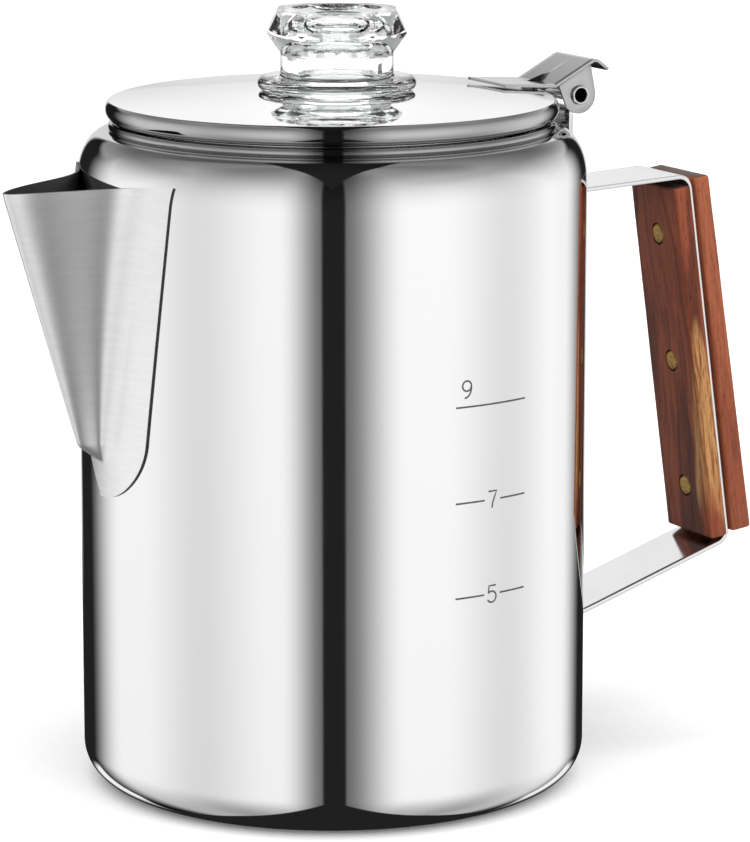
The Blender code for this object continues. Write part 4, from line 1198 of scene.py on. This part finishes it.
def make_spreader(satin):
    """Pierced plate that covers the basket and spreads the water over the coffee."""
    path = [(STEM_RADIUS + 1.2 * MM, SPREADER_Z + 2.2 * MM), (12 * MM, SPREADER_Z + 0.8 * MM),
            (SPREADER_RADIUS, SPREADER_Z + 0.8 * MM), (SPREADER_RADIUS, SPREADER_Z - 3.5 * MM)]
    section = sheet_ring(fillet(path, (3 * MM, 0.9 * MM)), BASKET_SHEET)
    cover = turned("water_spreader", section, closed=True, steps=128)
    combine(cover, sieve("holes", 18 * MM, 46 * MM, SPREADER_Z), "DIFFERENCE")
    finish_piece(cover, satin, "spreader", "satin_steel", "spreader_plate")


# ---------------------------------------------------------------- studio

def soft_box(shader, aside, bright, opening, closing, dip):
    """Brightness of a tall light: a crisp near edge, a dimmer middle and a soft far edge."""
    start, full = opening
    crisp = shader.step(aside, start, start + 1.5, DARK, SOFT_BOX_EDGE)
    near = shader.math("ADD", crisp, shader.step(aside, start, full, 0.0, bright - SOFT_BOX_EDGE))
    far = shader.step(aside, closing[1], closing[0])
    middle = shader.math("ABSOLUTE", shader.math("SUBTRACT", aside, dip))
    dimmer = shader.step(middle, SOFT_BOX_DIP[0], 0.0, 1.0, SOFT_BOX_DIP[1])
    light = shader.math("MULTIPLY", shader.math("MULTIPLY", near, far), dimmer)
    return shader.math("MAXIMUM", light, DARK)


def studio_world():
    """White to the camera. Reflections see two tall soft boxes, dark gaps and a white backdrop."""
    world = bpy.data.worlds.new("studio")
    bpy.context.scene.world = world
    world.use_nodes = True
    world.node_tree.nodes.clear()
    shader = Shader(world.node_tree)
    direction = shader.node("ShaderNodeTexCoord").outputs["Generated"]
    towards = (math.cos(FRONT), math.sin(FRONT), 0.0)
    rightwards = (-math.sin(FRONT), math.cos(FRONT), 0.0)
    frontal = shader.dot(direction, towards)
    lateral = shader.dot(direction, rightwards)
    rise = shader.dot(direction, (0, 0, 1))
    bearing = shader.math("DEGREES", shader.math("ARCTAN2", lateral, frontal))
    height = shader.math("DEGREES", shader.math("ARCSINE", rise))
    aside = shader.math("ABSOLUTE", bearing)
    off_centre = shader.math("ABSOLUTE", lateral)
    forward = shader.math("MAXIMUM", frontal, 0.0)

    # High up, the boxes run on behind the pot instead of ending at their far edges
    beyond = shader.math("MAXIMUM", shader.math("SUBTRACT", aside, 131.0), 0.0)
    wrap = shader.math("MULTIPLY", beyond, shader.step(height, 12.0, 20.0))
    reach = shader.math("SUBTRACT", aside, wrap)
    left = soft_box(shader, reach, *LEFT_BOX)
    right = soft_box(shader, reach, *RIGHT_BOX)
    on_right = shader.math("GREATER_THAN", bearing, 0.0)
    panel = shader.mix(on_right, left, right)

    # They dim upwards and downwards, and high up they are dimmest behind the pot
    fall = shader.math("MULTIPLY", shader.step(height, -62.0, -6.0, 0.45, 1.0),
                       shader.step(height, -8.0, 62.0, 1.0, 0.28))
    panel = shader.mix(1.0, panel, fall, "MULTIPLY")
    limit = shader.math("MULTIPLY_ADD", frontal, 0.28, 0.36)
    limit = shader.math("ADD", limit, shader.step(height, 38.0, -6.0, 0.0, 0.8))
    panel = shader.mix(1.0, panel, shader.math("MAXIMUM", limit, 0.17), "DARKEN")

    # Slanted lines bound them: the gap between them widens upwards, and opens below the middle
    top = shader.math("MULTIPLY_ADD", rise, -0.21, off_centre)
    top = shader.math("MULTIPLY_ADD", forward, 0.10, top)
    low = shader.math("ADD", rise, shader.math("MULTIPLY", off_centre, 2.3))
    low = shader.math("ADD", low, shader.math("MULTIPLY", forward, 0.27))
    inside = shader.math("MULTIPLY", shader.step(top, -0.006, 0.008), shader.step(low, -0.02, 0.03))

    # Straight behind the pot stands a white backdrop, with a bright patch low at its sides
    drop = shader.math("MULTIPLY", shader.step(off_centre, 0.01, 0.08), 0.08)
    backdrop = shader.math("SUBTRACT", shader.step(height, -6.0, 24.0, 0.83, 1.08), drop)
    behind = shader.math("MULTIPLY", shader.step(aside, 163.0, 168.0),
                         shader.math("MULTIPLY", shader.step(height, -14.0, -12.0),
                                     shader.step(height, 38.0, 34.0)))
    glow = shader.math("MULTIPLY", shader.step(aside, 143.0, 147.0),
                       shader.math("MULTIPLY", shader.step(height, -42.0, -38.0),
                                   shader.step(height, -20.0, -24.0)))
    glow = shader.math("MULTIPLY", glow, shader.step(off_centre, 0.2, 0.36))

    seen = shader.mix(inside, (DARK, DARK, DARK, 1), panel)
    seen = shader.mix(behind, seen, backdrop)
    seen = shader.mix(glow, seen, (0.95, 0.95, 0.95, 1))
    path = shader.node("ShaderNodeLightPath")
    through_glass = shader.math("MULTIPLY", path.outputs["Is Transmission Ray"], GLASS_VEIL)
    seen = shader.mix(through_glass, seen, (0.8, 0.8, 0.8, 1))
    seen = shader.mix(path.outputs["Is Camera Ray"], seen, (1.02, 1.02, 1.02, 1))
    background = shader.node("ShaderNodeBackground", {"Color": seen, "Strength": 1.0})
    shader.node("ShaderNodeOutputWorld", {"Surface": background.outputs[0]})


def studio_floor():
    """Plain white floor. Mirrors don't see it, as a polished pot is shot on a raised sheet."""
    half = 8.0
    rows = [[(x, y, -0.0002) for x in (-half, 0.0, half)] for y in (-half, 0.0, half)]
    floor = skin("studio_floor", rows)
    material, shader, surface, place = new_material("white_floor")
    tooth = shader.noise(place, 400.0, 3.0)
    shader.plug(shader.ramp(tooth, ((0.0, 0.86), (1.0, 0.9))), surface.inputs["Base Color"])
    shader.plug(0.9, surface.inputs["Roughness"])
    shader.plug(0.0, surface.inputs["Specular IOR Level"])
    floor.data.materials.append(material)
    floor.visible_glossy = False


def studio_lights():
    overhead = bpy.data.lights.new("overhead", "SUN")
    overhead.energy = 4.2
    overhead.angle = math.radians(100)
    lamp = bpy.data.objects.new("overhead", overhead)
    bpy.context.scene.collection.objects.link(lamp)
    lamp.rotation_euler = (math.radians(18), math.radians(-6), 0)
    lamp.visible_glossy = False


def studio_camera():
    camera = bpy.data.cameras.new("camera")
    camera.lens = CAMERA_LENS
    camera.sensor_width = 36.0
    camera.clip_start = 0.05
    eye = bpy.data.objects.new("camera", camera)
    bpy.context.scene.collection.objects.link(eye)
    eye.location = CAMERA_PLACE
    eye.rotation_euler = (math.radians(90 - CAMERA_DOWN), 0,
                          math.radians(-CAMERA_BEARING - CAMERA_AIM))
    bpy.context.scene.camera = eye


def main():
    polished = mirror_steel(shade=POT_SHADE)
    lid_polished = mirror_steel("lid_steel", 0.93, (0.05, 0.08), LID_SHADE, LID_CROWN)
    hardware = mirror_steel("hardware_steel", 0.82, (0.10, 0.16))
    brushed = satin_steel("brushed_spout", (0.12, 0.12, 1), 0.86, 0.30, 0.014, 0.85)
    lever_satin = satin_steel("brushed_lever", (0.04, 1, 0.04), 0.50, 0.2, 0.08)
    bore_painted_shade = satin_steel("rivet_bore_painted_shade", (1, 1, 1), 0.05, 0.5, 0.05)
    inner = satin_steel("inner_steel", (1, 1, 1), 0.72, 0.3, 0.05)
    _, lean = grip_frame()
    gold = {"place": (-4.4 * MM, 4.2 * MM, 67.0 * MM, 28.0 * MM),
            "dark": (0.15, 0.048, 0.016), "light": (0.48, 0.24, 0.085)}     # middle and half-sizes
    rosewood = wood("rosewood", ((0.28, (0.028, 0.007, 0.004)), (0.42, (0.12, 0.028, 0.013)),
                                 (0.53, (0.27, 0.066, 0.028)), (0.64, (0.16, 0.038, 0.017)),
                                 (0.8, (0.06, 0.013, 0.007))),
                    gold, -lean)
    redwood = wood("redwood", ((0.28, (0.12, 0.028, 0.014)), (0.48, (0.25, 0.064, 0.028)),
                               (0.62, (0.33, 0.096, 0.043)), (0.78, (0.17, 0.042, 0.021))),
                   None, -lean)
    make_pot(polished)
    make_spout(brushed, etched_steel("shaded_cut_edge", 0.05, 0.12),
               satin_steel("spout_inside_painted_shade", (0.03, 0.03, 1), 0.13, 0.5, 0.06))
    make_lid(lid_polished)
    make_skirt(hardware)
    make_knob(clear_glass())
    make_lever(lever_satin)
    make_upright(hardware)
    make_rivet(hardware, bore_painted_shade)
    make_band(hardware)
    make_scale("inner_scale", (SCALE_INNER_THICK,) * 2, SCALE_INNER_ENDS, SCALE_INNER_WIDTH, True,
               rosewood, "rosewood", "grip_scale_inner")
    make_scale("outer_scale", SCALE_OUTER_THICK, SCALE_OUTER_ENDS, SCALE_OUTER_WIDTH, False,
               redwood, "redwood", "grip_scale_outer")
    make_pins(aged_brass())
    make_marks(etched_steel())
    make_pump(inner)
    make_washer(inner)
    make_basket(inner)
    make_spreader(inner)
    studio_world()
    studio_floor()
    studio_lights()
    studio_camera()
    bpy.context.scene.view_settings.view_transform = "Standard"


main()
